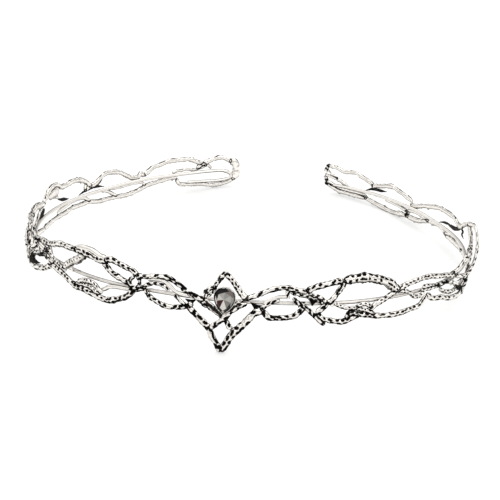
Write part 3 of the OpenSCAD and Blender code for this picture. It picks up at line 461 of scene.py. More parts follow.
class CircletColours(PropertyGroup):
    silver: colour("Silver", "Polished faces of the twigs", "#F4F0EA")
    # Tarnish and oxide also colour painted shade: along the edges and under sides of the twigs and wire, and
    # in the gap round the stone
    tarnish_and_shade: colour("Tarnish", "Warm grey film on the wire and in shallow dips", "#655C54")
    oxide_and_shade: colour("Oxide", "Black oxide in the pits and forks", "#070606")
    # The stone's colours are painted light on its facets: painted shade, painted reflected light and a
    # painted brown-red glow
    stone_painted_shade: colour("Dark Facets", "Stone where a facet looks into its depth", "#120F0F")
    stone_painted_light: colour("Light Facets", "Stone where a facet sends the light back", "#D0CDC6")
    stone_painted_glow: colour("Warm Facets", "Stone where a facet glows brown-red", "#3E1D1C")


class StageSettings(PropertyGroup):
    azimuth: degrees("Azimuth", "Turn of the camera from the band's front towards its left side", 6.13)
    elevation: degrees("Elevation", "Height of the camera over the band's own plane", 19.68)
    roll: degrees("Roll", "Turn of the camera about its own axis", 2.86)
    distance: metres("Distance", "Distance of the camera from the point it looks at", 0.45, 0.2, 2.0)
    lens: FloatProperty(
        name="Lens", description="Focal length in mm on a 36 mm frame", default=92.9, min=20, max=300)
    floor_colour: colour("Floor", "Colour of the pale floor", "#C8C8C7")


class CircletSettings(PropertyGroup):
    sizes: PointerProperty(type=CircletSizes)
    pits: PointerProperty(type=PitSizes)
    stone: PointerProperty(type=StoneSizes)
    colours: PointerProperty(type=CircletColours)
    stage: PointerProperty(type=StageSettings)


class Band:
    """The wire's plan, on which a station and a height give a place."""

    def __init__(self, head_width):
        self.head_width = head_width
        self.angles = np.radians(np.arange(0, 181, 0.5))
        steps = np.diff(self.on_plan(self.angles), axis=0)
        self.lengths = np.concatenate([[0], np.cumsum(np.linalg.norm(steps, axis=1))])

    def on_plan(self, turn):
        """Point of the plan at an angle from the front."""
        radius = self.head_width / 2 * sum(share * np.cos(k * turn) for k, share in enumerate(PLAN))
        return np.stack([radius * np.sin(turn), -radius * np.cos(turn)], -1)

    def at(self, run):
        """Places of stations and heights in millimetres, and the directions along and out of the band."""
        station, height = np.moveaxis(np.asarray(run, float), -1, 0)
        reach = np.abs(station) * self.head_width / CHART_WIDTH
        turn = np.sign(station) * np.interp(reach, self.lengths, self.angles)
        along = self.on_plan(turn + 0.005) - self.on_plan(turn - 0.005)
        x, y = np.moveaxis(along / np.linalg.norm(along, axis=-1, keepdims=True), -1, 0)
        none = np.zeros_like(x)
        place = np.concatenate([self.on_plan(turn), height[..., None] * MM], -1)
        return place, np.stack([x, y, none], -1), np.stack([y, -x, none], -1)

    def lay(self, run):
        """Middle line of a strand along a run, and the directions outward and across it."""
        place, along, outward = self.at(run)
        ahead = np.gradient(run, axis=0)
        ahead /= np.linalg.norm(ahead, axis=1, keepdims=True)
        return place, outward, -ahead[:, 1:] * along + ahead[:, :1] * UP


def stand(points):
    """Points of the band's own frame, in the stance on the floor. Bark is worn flat where it touches."""
    stood = np.asarray(points) @ np.array(STANCE.to_3x3()).T + np.array(STANCE.translation)
    stood[..., 2] = np.maximum(stood[..., 2], 0.0)
    return stood


def even_run(knots, step):
    """Even points, step millimetres apart, on the smooth run through the knots, and how far on each is."""
    k = np.asarray(knots, float)
    k = np.vstack([2 * k[0] - k[1], k, 2 * k[-1] - k[-2]])
    fine = []
    for a, b, c, d in zip(k, k[1:], k[2:], k[3:]):
        for t in np.arange(16) / 16:
            fine.append((2 * b + (c - a) * t + (2 * a - 5 * b + 4 * c - d) * t ** 2
                         + (3 * b - a - 3 * c + d) * t ** 3) / 2)
    fine = np.array(fine + [k[-2]])
    reach = np.concatenate([[0], np.cumsum(np.linalg.norm(np.diff(fine, axis=0), axis=1))])
    marks = np.linspace(0, reach[-1], max(4, round(reach[-1] / step)) + 1)
    return np.stack([np.interp(marks, reach, fine[:, i]) for i in (0, 1)], -1), marks


def ring_points(middle, outward, side, across, deep):
    """Rings round the points of a middle line, from the distances across and outward of their corners."""
    return middle[:, None] + across[..., None] * side[:, None] + deep[..., None] * outward[:, None]


def round_rings(middle, outward, side, radius):
    """Plain round rings round the points of a middle line."""
    turn = np.linspace(0, FULL_TURN, PLAIN_SIDES, endpoint=False)
    return ring_points(middle, outward, side, radius[:, None] * np.cos(turn), radius[:, None] * np.sin(turn))


def tube_faces(rings, sides, first=0, loop=False):
    """Faces of a tube of rings with the same number of sides. It has closed ends, or runs in a loop."""
    ring, side = np.meshgrid(np.arange(rings if loop else rings - 1), np.arange(sides), indexing="ij")
    here = first + ring * sides
    after = first + (ring + 1) % rings * sides
    beside = (side + 1) % sides
    walls = np.stack([here + side, here + beside, after + beside, after + side], -1).reshape(-1, 4).tolist()
    if loop:
        return walls
    corners = np.arange(first, first + sides)
    return walls + [corners[::-1].tolist(), (corners + (rings - 1) * sides).tolist()]


def new_piece(name, points, faces, material, marks, node="circlet", domain="POINT",
              smooth=True):
    """A mesh object with its material, its place in the frame and its marks for the material."""
    mesh = bpy.data.meshes.new(name)
    mesh.from_pydata(np.asarray(points).tolist(), [], faces)
    mesh.validate()
    for key, values in marks.items():
        mesh.attributes.new(key, "FLOAT", domain).data.foreach_set("value", np.asarray(values, np.float32))
    mesh.polygons.foreach_set("use_smooth", [smooth] * len(mesh.polygons))
    mesh.materials.append(material)
    piece = bpy.data.objects.new(name, mesh)
    bpy.context.scene.collection.objects.link(piece)
    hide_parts(node)
    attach(piece, "root")


def cast(name, material, tubes):
    """One piece of closed tubes. Each has rings, and marks for each point, each ring or the whole tube."""
    points = []
    faces = []
    marks = {}
    count = 0
    for rings, values in tubes:
        shape = rings.shape[:2]
        points.append(rings.reshape(-1, 3))
        faces += tube_faces(*shape, count)
        count += len(points[-1])
        for key, value in values.items():
            marks.setdefault(key, []).append(np.broadcast_to(value, shape).reshape(-1))
    marks = {key: np.concatenate(parts) for key, parts in marks.items()}
    new_piece(name, stand(np.concatenate(points)), faces, material, marks)


def add_node(tree, kind, inputs=None, **fields):
    """Adds a node, sets its fields and fills its inputs. A node in these is linked by its first output."""
    node = tree.nodes.new("ShaderNode" + kind)
    for key, value in fields.items():
        setattr(node, key, value)
    for key, value in (inputs or {}).items():
        if isinstance(value, bpy.types.Node):
            value = next(output for output in value.outputs if output.enabled)
        if isinstance(value, bpy.types.NodeSocket):
            tree.links.new(value, node.inputs[key])
        else:
            node.inputs[key].default_value = value
    return node


def new_material(name):
    """A material without nodes, and the function that adds one to it."""
    material = bpy.data.materials.get(name) or bpy.data.materials.new(name)
    material.use_nodes = True
    material.node_tree.nodes.clear()
    return material, partial(add_node, material.node_tree)


def antiqued_silver(colours):
    """Silver plate on cast metal, blackened with sulphide and polished: bright faces, black pits, and
    painted shade along edges and under sides.
    """
    material, node = new_material("antiqued_silver_plate")
    place = node("TexCoord").outputs["Object"]
    # This mark holds the black of the pits, and painted shade: black along the edges, under sides and top
    # line of the twigs, and in the gap round the stone
    pits_and_shade = node("Attribute", attribute_name="oxide_and_shade").outputs["Fac"]
    dull = node("Attribute", attribute_name="film_and_shade").outputs["Fac"]
    # Sulphide grains of about half a millimetre break the edge of each pit
    grain = node("TexNoise", {"Vector": place, "Scale": 1 / (0.45 * MM), "Detail": 3.0})
    broken = node("Math", {0: grain, 1: 0.5}, operation="SUBTRACT")
    ragged = node("Math", {0: broken, 1: 0.5, 2: pits_and_shade}, operation="MULTIPLY_ADD")
    black = node("MapRange", {"Value": ragged, "From Min": 0.2, "From Max": 0.34})
    # Polishing doesn't reach within a millimetre of where two twigs meet
    shelter = node("AmbientOcclusion", {"Distance": 1.1 * MM}, samples=8)
    fork = node("MapRange", {"Value": shelter.outputs["AO"], "From Min": 0.6, "From Max": 0.3})
    dark = node("Math", {0: black, 1: fork}, operation="MAXIMUM")
    # A thin film of tarnish and painted shade lies along the edges and under sides, and tarnish lies in
    # patches of about three millimetres elsewhere
    patch = node("TexNoise", {"Vector": place, "Scale": 1 / (3 * MM), "Detail": 2.0})
    spread = node("MapRange", {"Value": patch, "From Min": 0.5, "From Max": 0.8, "To Max": 0.25})
    film_and_shade = node("Math", {0: spread, 1: dull}, operation="ADD", use_clamp=True)
    bright = node("Mix", {"Factor": film_and_shade, COLOUR_A: colours.silver, COLOUR_B: colours.tarnish_and_shade},
                  data_type="RGBA")
    tone = node("Mix", {"Factor": dark, COLOUR_A: bright, COLOUR_B: colours.oxide_and_shade}, data_type="RGBA")
    metal = node("MapRange", {"Value": dark, "To Min": 1.0, "To Max": 0.0})
    rough = node("MapRange", {"Value": dark, "To Min": 0.2, "To Max": 0.8})
    bump = node("Bump", {"Height": grain, "Strength": 0.5, "Distance": 0.1 * MM})
    shader = node("BsdfPrincipled", {"Base Color": tone, "Metallic": metal, "Roughness": rough,
                                     "Specular IOR Level": 0.05, "Normal": bump})
    node("OutputMaterial", {"Surface": shader})
    return material


def drawn_silver(colours):
    """Drawn and plated wire: smooth and satin, with dark lines along its edges, painted shade on the under
    side and top, and on the strips also tarnish where polishing misses the edges.
    """
    material, node = new_material("drawn_silver_wire")
    place = node("TexCoord").outputs["Object"]
    dull = node("Attribute", attribute_name="film_and_shade").outputs["Fac"]
    # The edge mark is painted shade in dark lines along the under side and top, and on the strips also
    # tarnish along the edges
    edge = node("Attribute", attribute_name="edge").outputs["Fac"]
    # Tarnish lies in patches of about four millimetres
    patch = node("TexNoise", {"Vector": place, "Scale": 1 / (4 * MM), "Detail": 2.0})
    film_and_shade = node("Math", {0: patch, 1: 0.4, 2: dull}, operation="MULTIPLY_ADD")
    amount = node("MapRange", {"Value": film_and_shade, "From Min": 0.2, "From Max": 1.2})
    bright = node("Mix", {"Factor": amount, COLOUR_A: colours.silver, COLOUR_B: colours.tarnish_and_shade},
                  data_type="RGBA")
    # Drawing scratches of about a millimetre break the dark lines
    scratch = node("TexNoise", {"Vector": place, "Scale": 1 / (1.2 * MM), "Detail": 2.0})
    ragged = node("Math", {0: scratch, 1: 0.5, 2: edge}, operation="MULTIPLY_ADD")
    line = node("MapRange", {"Value": ragged, "From Min": 0.5, "From Max": 0.9})
    # Polishing doesn't reach the side that lies against a twig
    shelter = node("AmbientOcclusion", {"Distance": 0.9 * MM}, samples=8)
    fork = node("MapRange", {"Value": shelter.outputs["AO"], "From Min": 0.5, "From Max": 0.2})
    dark = node("Math", {0: line, 1: fork}, operation="MAXIMUM")
    tone = node("Mix", {"Factor": dark, COLOUR_A: bright, COLOUR_B: colours.oxide_and_shade}, data_type="RGBA")
    rough = node("MapRange", {"Value": patch, "To Min": 0.22, "To Max": 0.4})
    shader = node("BsdfPrincipled", {"Base Color": tone, "Metallic": 1.0, "Roughness": rough})
    node("OutputMaterial", {"Surface": shader})
    return material


def black_leaves_and_shade(colours):
    """Cast metal left black, also standing for painted shade between parts: matt, a little brown where it is
    thin, with a few bright scratches.
    """
    material, node = new_material("blackened_metal_and_painted_shade")
    place = node("TexCoord").outputs["Object"]
    # Grains of about half a millimetre wear bright at their tops
    grain = node("TexNoise", {"Vector": place, "Scale": 1 / (0.6 * MM), "Detail": 4.0})
    worn = node("MapRange", {"Value": grain, "From Min": 0.56, "From Max": 0.7})
    tone = node("Mix", {"Factor": worn, COLOUR_A: colours.oxide_and_shade, COLOUR_B: colours.tarnish_and_shade},
                data_type="RGBA")
    metal = node("MapRange", {"Value": worn, "To Min": 0.0, "To Max": 0.9})
    bump = node("Bump", {"Height": grain, "Strength": 0.6, "Distance": 0.12 * MM})
    shader = node("BsdfPrincipled", {"Base Color": tone, "Metallic": metal, "Roughness": 0.55,
                                     "Specular IOR Level": 0.15, "Normal": bump})
    node("OutputMaterial", {"Surface": shader})
    return material


def smoky_crystal(colours):
    """Cut smoky glass under a polished face, with painted light: each facet is painted with the share of
    light it would send back, and some with a brown-red glow.
    """
    material, node = new_material("smoky_crystal_painted_facets")
    light = node("Attribute", attribute_name="tone").outputs["Fac"]
    warm = node("Attribute", attribute_name="warm").outputs["Fac"]
    depth = node("Mix", {"Factor": light, COLOUR_A: colours.stone_painted_shade, COLOUR_B: colours.stone_painted_light},
                 data_type="RGBA")
    tone = node("Mix", {"Factor": warm, COLOUR_A: depth, COLOUR_B: colours.stone_painted_glow}, data_type="RGBA")
    shader = node("BsdfPrincipled", {"Base Color": tone, "Roughness": 0.12, "IOR": 1.52,
                                     "Specular IOR Level": 0.1})
    node("OutputMaterial", {"Surface": shader})
    return material


def opal_acrylic(floor_colour):
    """Frosted opal acrylic, softly lit from below: white and matt, with faint shadows."""
    material, node = new_material("opal_acrylic")
    place = node("TexCoord").outputs["Object"]
    # The frost is too fine to show, so it is drawn four millimetres coarse
    frost = node("TexNoise", {"Vector": place, "Scale": 1 / (4 * MM), "Detail": 3.0})
    bump = node("Bump", {"Height": frost, "Strength": 0.05, "Distance": 0.1 * MM})
    shader = node("BsdfPrincipled", {
        "Base Color": floor_colour, "Roughness": 0.9, "Specular IOR Level": 0.1, "Normal": bump,
        "Emission Color": (1, 1, 1, 1), "Emission Strength": 0.42})
    node("OutputMaterial", {"Surface": shader})
    return material


def wave(steps, rng):
    """A wave that starts at a random place."""
    return np.sin(steps + rng.uniform(0, 6))


def lump(reach, low, high, rng):
    """A lump at a random place along a twig, of a random length."""
    return np.exp(-((reach - rng.uniform(0, reach[-1])) / rng.uniform(low, high)) ** 2)


def round_tips(from_tip, rounding):
    """Share of its thickness that a strand has near a tip, by how far it is and the length rounded off."""
    return np.sqrt(1 - (1 - np.clip(from_tip / rounding, 0.02, 1)) ** 2)


def signed(turn):
    """Angles from minus to plus half a turn."""
    return (turn + math.pi) % FULL_TURN - math.pi


def painted_shade_lines(rise):
    """How much painted shade lies where a surface faces down, and a painted dark reflection in a narrow line
    on top, from its normal's rise.
    """
    return np.maximum(np.interp(-rise, (0.1, 0.5), (0, 1)), np.interp(rise, (0.84, 0.95), (0, 0.8)))


def fork_black(run):
    """How much black is left on the ends of the fork, for each point of a run."""
    ends = (run[:, 1] < FORK_HEIGHTS[0]) | (run[:, 1] > FORK_HEIGHTS[1])
    return FORK_BLACK * ends * (run[:, 0] > FORK_STATION) * (0.7 + 0.3 * np.sin(run[:, 1] * 4.2))


def pit_places(width, finer, run, reach, pits, rng):
    """Pits of one twig: place along it, angle round it from the outer side, half length and width, slant."""
    spacing = pits.spacing / MM

    def grade_at(mark):
        """Size of the pits at a mark, and how far they are drawn out."""
        station = abs(np.interp(mark, reach, run[:, 0]))
        grade = np.interp(station, PIT_STATIONS, PIT_GRADES) * min(1, 0.45 + width / 3.4) * finer
        return grade, np.interp(station, STRETCH_STATIONS, STRETCH_SHARES)

    grade, stretch = grade_at(reach[-1] / 2)
    rows = NARROW_ROWS
    if width >= WIDE_FROM * grade + WIDE_MARGIN:
        rows = WIDE_ROWS
    elif width >= MIDDLING_FROM * grade:
        rows = MIDDLING_ROWS
    found = []
    for k, (angle, spread, size) in enumerate(rows + EDGE_ROWS):
        at = 0.7 + (k % 2) * spacing * grade ** 0.5 * stretch * spread / 2 + rng.uniform(0, 0.4)
        while at < reach[-1] - 0.6:
            grade, stretch = grade_at(at)
            here = at + rng.uniform(-0.25, 0.25)
            turn = math.radians(angle + rng.uniform(-9, 9))
            long = pits.length / MM * grade * stretch * size * rng.uniform(0.75, 1.3)
            wide = pits.width / MM * grade * size * rng.uniform(0.8, 1.15)
            if rng.random() < LONG_PITS:
                long *= LONG_LENGTH
                wide *= LONG_WIDTH
            if rng.random() > pits.missing * (1 if size > SMALL_ROW else SMALL_MISSING):
                found.append((here, turn, long / 2, wide / 2, math.radians(rng.uniform(-24, 24))))
            at += spacing * grade ** 0.5 * stretch * spread * rng.uniform(0.85, 1.2)
    for angle in GROOVE_ANGLES:
        at = rng.uniform(0.5, 4)
        while at < reach[-1] - 2:
            long = rng.uniform(1.6, 4.0)
            turn = math.radians(angle + rng.uniform(-8, 8))
            found.append((at, turn, long / 2, GROOVE_HALF_WIDTH, math.radians(rng.uniform(-6, 6))))
            at += long + rng.uniform(0.8, 5)
    return found


class Twig(NamedTuple):
    """A built twig: its rings of points, their middles and radii, its oxide and film, which hold painted
    shade too along the edges and under side, and its polish.
    """
    rings: np.ndarray
    middle: np.ndarray
    radius: np.ndarray
    oxide_and_shade: np.ndarray
    film_and_shade: np.ndarray
    polish: np.ndarray


def twig(row, band, made, rng, pitted=True, pointed=False, step=TWIG_STEP, sides=TWIG_SIDES):
    """One twig, which swells and thins. Its ends are round or pointed, and its bark is pitted or smooth."""
    width, lift, knots, *finer = row
    width = width * made.sizes.twig_size
    run, reach = even_run(knots, step)
    station = np.abs(run[:, 0])
    from_tip = np.minimum(reach, reach[-1] - reach)
    middle, outward, side = band.lay(run)
    rise = np.full(len(run), float(lift))
    if lift > FLAT_LIFT:
        rise *= np.sin(np.linspace(0, math.pi, len(run))) ** 0.6
    middle += (made.sizes.twig_out + rise * MM)[:, None] * outward

    swell = 1 + 0.06 * wave(reach * 1.3, rng) + 0.05 * wave(reach * 0.57, rng)
    for _ in range(int(reach[-1] / SWELLING_EVERY) if pitted else 0):
        swell += rng.uniform(0.06, 0.16) * lump(reach, 0.5, 1.0, rng)
    if pointed:
        swell *= np.sin(np.linspace(0.06, math.pi - 0.06, len(run))) ** 0.8
    else:
        swell *= round_tips(from_tip, 0.55 * width)

    turn = np.linspace(0, FULL_TURN, sides, endpoint=False)
    bark = 0.035 * wave(reach[:, None] * 2.9 + 2 * turn, rng)
    bark += 0.03 * wave(reach[:, None] * 4.7 - 3 * turn, rng)
    radius = swell[:, None] * (1 + bark * (1 if pitted else 0.2))
    # Buds and scars roughen the outline of the arms
    for _ in range(int(reach[-1] / BUD_EVERY) if pitted and station[len(run) // 2] > BUD_STATION else 0):
        along_it = lump(reach, 0.25, 0.6, rng)
        round_it = np.clip(np.cos(turn - rng.choice([0, math.pi]) - rng.uniform(-0.6, 0.6)), 0, 1) ** 3
        radius += rng.uniform(-0.25, 0.4) * along_it[:, None] * round_it

    sink = np.zeros_like(radius)
    from_outer = signed(turn - math.pi / 2)
    if pitted:
        girth = width / 2 * (1 + made.sizes.twig_depth) / 2
        places = pit_places(width, finer[0] if finer else 1, run, reach, made.pits, rng)
        for here, angle, long, wide, slant in places:
            near = np.abs(reach - here) < long * 1.3 + wide
            dx = reach[near][:, None] - here
            dy = signed(from_outer - angle) * girth
            u = (dx * math.cos(slant) + dy * math.sin(slant)) / long
            v = (dy * math.cos(slant) - dx * math.sin(slant)) / wide
            sink[near] = np.maximum(sink[near], np.clip(1.5 - (u * u + v * v), 0, 1))

    half_w = width * MM / 2
    half_d = min(half_w * made.sizes.twig_depth, BROAD_DEPTH / 2 * MM)
    across = half_w * radius * np.cos(turn)
    deep = half_d * radius * np.sin(turn) * np.where(np.sin(turn) < 0, INNER_SHARE, 1.0)
    cut = sink ** 0.7 * made.pits.depth
    keep = np.clip(1 - cut / np.maximum(np.hypot(across, deep), 1e-6), 0.35, 1)
    rings = ring_points(middle, outward, side, across * keep, deep * keep)

    # Polishing brightens the outer and the inner face and leaves tarnish along the edges, which carry
    # painted shade too; the under side and a narrow line on top carry painted shade
    edge = np.interp(np.abs(np.degrees(from_outer)), (70, 86, 104, 118), (0, 1, 1, 0))
    worn = (0.5 + 0.5 * wave(reach * 0.9, rng) * wave(reach * 0.37, rng))[:, None]
    lines = painted_shade_lines(np.cos(turn) * side[:, 2:])
    edge_kept = 1 - np.interp(station, POLISH_STATIONS, EDGE_FADE)[:, None]
    film_and_shade = np.clip(0.3 * edge + lines * (0.8 - 0.35 * worn), 0, 1) * edge_kept
    # Black oxide fills the pits; the black along the edges is partly painted shade, and on the under side
    # and the top line it is painted shade
    oxide_and_shade = np.maximum(sink, (0.26 + 0.08 * worn) * np.maximum(lines, 0.8 * edge) * edge_kept)
    tip = np.clip(1.6 - from_tip / 0.3, 0, 1) * (station > CUT_STATION)
    oxide_and_shade = np.maximum(oxide_and_shade, np.maximum(CUT_BLACK * tip, fork_black(run))[:, None])
    return Twig(rings, middle, swell * (half_w + half_d) / 2, oxide_and_shade, film_and_shade,
                np.interp(station, POLISH_STATIONS, CREVICE_POLISH))


def crevices(one, every):
    """How much black is left at each point of a twig in the crevices where it meets others, 0 to 1.

    It is most where the two surfaces meet, and less on the arms, where polishing reaches deeper.
    """
    points = one.rings.reshape(-1, 3)
    depth = np.zeros(len(points))
    middle = np.concatenate([other.middle for other in every if other is not one])
    radius = np.concatenate([other.radius for other in every if other is not one])
    low, high = points.min(0) - NEIGHBOUR_REACH, points.max(0) + NEIGHBOUR_REACH
    close = np.all((middle > low) & (middle < high), axis=1)
    middle, radius = middle[close], radius[close]
    for start in range(0, len(points) if len(middle) else 0, POINTS_AT_ONCE):
        part = points[start:start + POINTS_AT_ONCE]
        square = (part ** 2).sum(1)[:, None] + (middle ** 2).sum(1)[None] - 2 * part @ middle.T
        gap = (np.sqrt(np.maximum(square, 0)) - radius).min(1)
        depth[start:start + POINTS_AT_ONCE] = np.clip(1 - np.abs(gap) / CREVICE_REACH, 0, 1)
    return depth.reshape(one.oxide_and_shade.shape) * (1 - one.polish)[:, None]


def spur(row, band, twig_out):
    """Rings of a broken-off side shoot: a short cone with a round tip."""
    station, height, heading, reach, thick = row
    turn = math.radians(heading)
    share = np.linspace(0, 1, SPUR_RINGS)
    tip = np.array([math.cos(turn), math.sin(turn)]) * reach
    middle, outward, side = band.lay(np.array([station, height]) + share[:, None] * tip)
    middle += ((0.2 + 0.2 * share) * MM + twig_out)[:, None] * outward
    radius = thick / 2 * MM * (1 - 0.45 * share) * np.sqrt(1 - share ** 6 * 0.999)
    return round_rings(middle, outward, side, radius)


def wire_strand(knots, width, band):
    """Rings of a plain round strand, with its film, most in front, and dark lines of painted shade along its
    under side and top.
    """
    run, reach = even_run(knots, WIRE_STEP)
    middle, outward, side = band.lay(run)
    radius = width * MM / 2 * round_tips(np.minimum(reach, reach[-1] - reach), width / 2)
    front = np.interp(np.abs(run[:, 0]), (90, 125), (1, 0))[:, None]
    end = np.interp(np.abs(run[:, 0]), (184, 194), (0, 0.4))[:, None]
    turn = np.linspace(0, FULL_TURN, PLAIN_SIDES, endpoint=False)
    lines = painted_shade_lines(np.cos(turn) * side[:, 2:]) * (0.5 + 0.22 * front + end)
    return round_rings(middle, outward, side, radius), {"film_and_shade": 0.2 * front, "edge": lines}


def web(row, band, sizes):
    """Rims of a web in a fork, and the black that is left on it."""
    corners = np.array(row, float).reshape(3, 2)
    (a, b), (c, d) = corners[1] - corners[0], corners[2] - corners[0]
    # Clockwise from the front, so that the faces point outward
    if a * d > b * c:
        corners = corners[::-1]
    middle = corners.mean(0)
    t = np.arange(8)[:, None] / 8
    sides = [start + (end - start) * t for start, end in zip(corners, np.roll(corners, -1, axis=0))]
    ring = np.concatenate([side + (middle - side) * WEB_CREEP * np.sin(math.pi * t) for side in sides])
    rims = []
    for inset, out in WEB_RIMS:
        place, _, outward = band.at(ring + (middle - ring) * inset)
        rims.append(place + (sizes.twig_out + out * sizes.web_thickness) * outward)
    return np.array(rims), {"oxide_and_shade": 1.0 if abs(middle[0]) < BLACK_WEBS else CLEAN_WEB}


def drop_outline(width, height, count, turn=0.0):
    """Outline of a broad drop with its point down, its widest part at full width."""
    t = np.arange(count) * 2 * math.pi / count + turn
    return np.stack([width / 2 * np.sin(t) * np.abs(np.sin(t / 2)) ** DROP_FULLNESS / DROP_WIDEST,
                     -height / 2 * np.cos(t)], -1)


def on_setting(band, points):
    """Points of the stone's own frame, x along the band, y up and z outward, in the stance on the floor."""
    place, along, outward = band.at((STONE_STATION, STONE_HEIGHT))
    x, y, z = np.asarray(points, float).T[..., None]
    turn = math.radians(STONE_TURN)
    return stand(place + (x * math.cos(turn) - y * math.sin(turn)) * along
                 + (x * math.sin(turn) + y * math.cos(turn)) * UP + z * outward)


def settings(context):
    """The circlet's settings, and its band at the head width that they give."""
    made = context.scene.circlet
    return made, Band(made.sizes.head_width)


class CIRCLET_OT_twigs(Operator):
    """Build the pitted twigs, a piece for each stretch of the band"""
    bl_idname = "circlet.twigs"
    bl_label = "Build Twigs"

    def execute(self, context):
        made, band = settings(context)
        silver = antiqued_silver(made.colours)
        stretches = {}
        for k, (name, rows) in enumerate(STRETCHES.items()):
            rng = np.random.default_rng(made.pits.seed + k)
            stretches[name] = [twig(row, band, made, rng) for row in rows]
        every = [one for twigs in stretches.values() for one in twigs]
        for name, twigs in stretches.items():
            cast(name, silver, [(one.rings, {"oxide_and_shade": np.maximum(one.oxide_and_shade, crevices(one, every)),
                                             "film_and_shade": one.film_and_shade}) for one in twigs])
        return {"FINISHED"}


class CIRCLET_OT_spurs(Operator):
    """Build the short spurs of broken bark"""
    bl_idname = "circlet.spurs"
    bl_label = "Build Spurs"

    def execute(self, context):
        made, band = settings(context)
        cast("bark_spurs", antiqued_silver(made.colours),
             [(spur(row, band, made.sizes.twig_out), {"oxide_and_shade": 0.0}) for row in SPURS])
        return {"FINISHED"}


class CIRCLET_OT_wire(Operator):
    """Build the smooth inner wire with its hairpin, and the smooth strips along some leaves"""
    bl_idname = "circlet.wire"
    bl_label = "Build Wire"

    def execute(self, context):
        made, band = settings(context)
        silver = drawn_silver(made.colours)
        across = made.sizes.wire_diameter / MM
        cast("inner_wire", silver, [wire_strand(WIRE, across, band),
                                    wire_strand(HAIRPIN, across * HAIRPIN_SHARE, band)])
        rng = np.random.default_rng(made.pits.seed)
        strips = [twig(row, band, made, rng, pitted=False, step=STRIP_STEP, sides=PLAIN_SIDES)
                  for row in STRIPS]
        # On the strips the edge lines are tarnish along the edges and painted shade on the under side and
        # top
        cast("smooth_strips", silver, [(strip.rings, {"film_and_shade": 0.0, "edge": strip.film_and_shade}) for strip in strips])
        return {"FINISHED"}


class CIRCLET_OT_leaves(Operator):
    """Build the small black leaves inside the arms, with the dark strips of painted shade between parts"""
    bl_idname = "circlet.leaves"
    bl_label = "Build Dark Leaves"

    def execute(self, context):
        made, band = settings(context)
        rng = np.random.default_rng(made.pits.seed)
        leaves = [twig(row, band, made, rng, pointed=True, sides=PLAIN_SIDES) for row in DARK_LEAVES_AND_SHADE]
        cast("dark_leaves", black_leaves_and_shade(made.colours), [(leaf.rings, {}) for leaf in leaves])
        return {"FINISHED"}


class CIRCLET_OT_webs(Operator):
    """Build the webs that fill the forks, black in front"""
    bl_idname = "circlet.webs"
    bl_label = "Build Webs"

    def execute(self, context):
        made, band = settings(context)
        cast("fork_webs", antiqued_silver(made.colours), [web(row, band, made.sizes) for row in WEBS])
        return {"FINISHED"}


class CIRCLET_OT_setting(Operator):
    """Build the drop-shaped setting with its rounded rim"""
    bl_idname = "circlet.setting"
    bl_label = "Build Setting"

    def execute(self, context):
        made, band = settings(context)
        stone = made.stone
        wall = stone.wall
        foot = BEZEL_FOOT * MM
        seat = BEZEL_SEAT * MM
        rim = (GIRDLE_OUT + GIRDLE_THICKNESS + BEZEL_RIM) * MM
        taper = -stone.width / 2 * (1 - FOOT_SHARE)
        # Section of the wall, up the outside and back: offset from its inner face, height, and black
        # The black is oxide, and on the inner face and at the foot also painted shade in the gap round the
        # stone
        section = [(taper + wall, foot, 1), (wall, seat, 0.3), (wall, rim - wall * 0.4, 0),
                   (wall * 0.82, rim - wall * 0.1, 0), (wall * 0.5, rim, 0.3),
                   (wall * 0.18, rim - wall * 0.1, 0.7), (0, rim - wall * 0.4, 1), (0, seat, 1),
                   (taper, foot, 1)]
        base = drop_outline(stone.width + 2 * stone.gap, stone.height + 2 * stone.gap, BEZEL_CORNERS)
        ahead = np.roll(base, -1, axis=0) - np.roll(base, 1, axis=0)
        ahead /= np.maximum(np.linalg.norm(ahead, axis=1, keepdims=True), 1e-9)
        away = np.stack([ahead[:, 1], -ahead[:, 0]], -1)
        away[0] = (0, -1)
        points = np.concatenate([np.column_stack([base + away * off, np.full(BEZEL_CORNERS, height)])
                                 for off, height, _ in section])
        new_piece("stone_setting", on_setting(band, points),
                  tube_faces(len(section), BEZEL_CORNERS, loop=True), antiqued_silver(made.colours),
                  {"oxide_and_shade": np.repeat([black for _, _, black in section], BEZEL_CORNERS)})
        return {"FINISHED"}


class CIRCLET_OT_stone(Operator):
    """Cut the drop stone, with painted light and shade of its own on each facet"""
    bl_idname = "circlet.stone"
    bl_label = "Cut Stone"

    def execute(self, context):
        made, band = settings(context)
        stone = made.stone
        cut = bmesh.new()
        for share, corners, turn, rise in STONE_LEVELS:
            outline = drop_outline(stone.width * share, stone.height * share, corners, math.radians(turn))
            outline[:, 1] += stone.height * LEVEL_RISE * (1 - share)
            height = GIRDLE_OUT * MM + rise * (stone.crown if rise >= 0 else PAVILION_HEIGHT * MM)
            for x, y in outline:
                cut.verts.new((x, y, height))
        bmesh.ops.convex_hull(cut, input=cut.verts[:])
        bmesh.ops.dissolve_limit(cut, angle_limit=FACET_TURN, verts=cut.verts[:], edges=cut.edges[:])
        cut.normal_update()
        culet = Vector((CULET[0] * stone.width, CULET[1] * stone.height, 0))
        table = max(cut.faces, key=lambda face: face.calc_center_median().z)
        middle = bmesh.ops.poke(cut, faces=[table])["verts"][0]
        middle.co.x, middle.co.y = culet.x, culet.y
        cut.verts.index_update()
        points = np.array([corner.co[:] for corner in cut.verts])
        faces = [[corner.index for corner in face.verts] for face in cut.faces]
        painted_tones = []
        painted_warmths = []
        for face in cut.faces:
            centre = face.calc_center_median()
            through = middle in face.verts
            way = centre - culet if through else centre
            angle = math.degrees(math.atan2(way.x, way.y)) % 360
            looks = TABLE_PAINTED_LIGHT if through else CROWN_PAINTED_LIGHT
            _, tone, warmth = next(look for look in looks if angle < look[0])
            painted_tones.append(tone)
            painted_warmths.append(warmth)
        cut.free()
        new_piece("drop_stone", on_setting(band, points), faces, smoky_crystal(made.colours),
                  {"tone": painted_tones, "warm": painted_warmths}, node="stone", domain="FACE",
                  smooth=False)
        return {"FINISHED"}


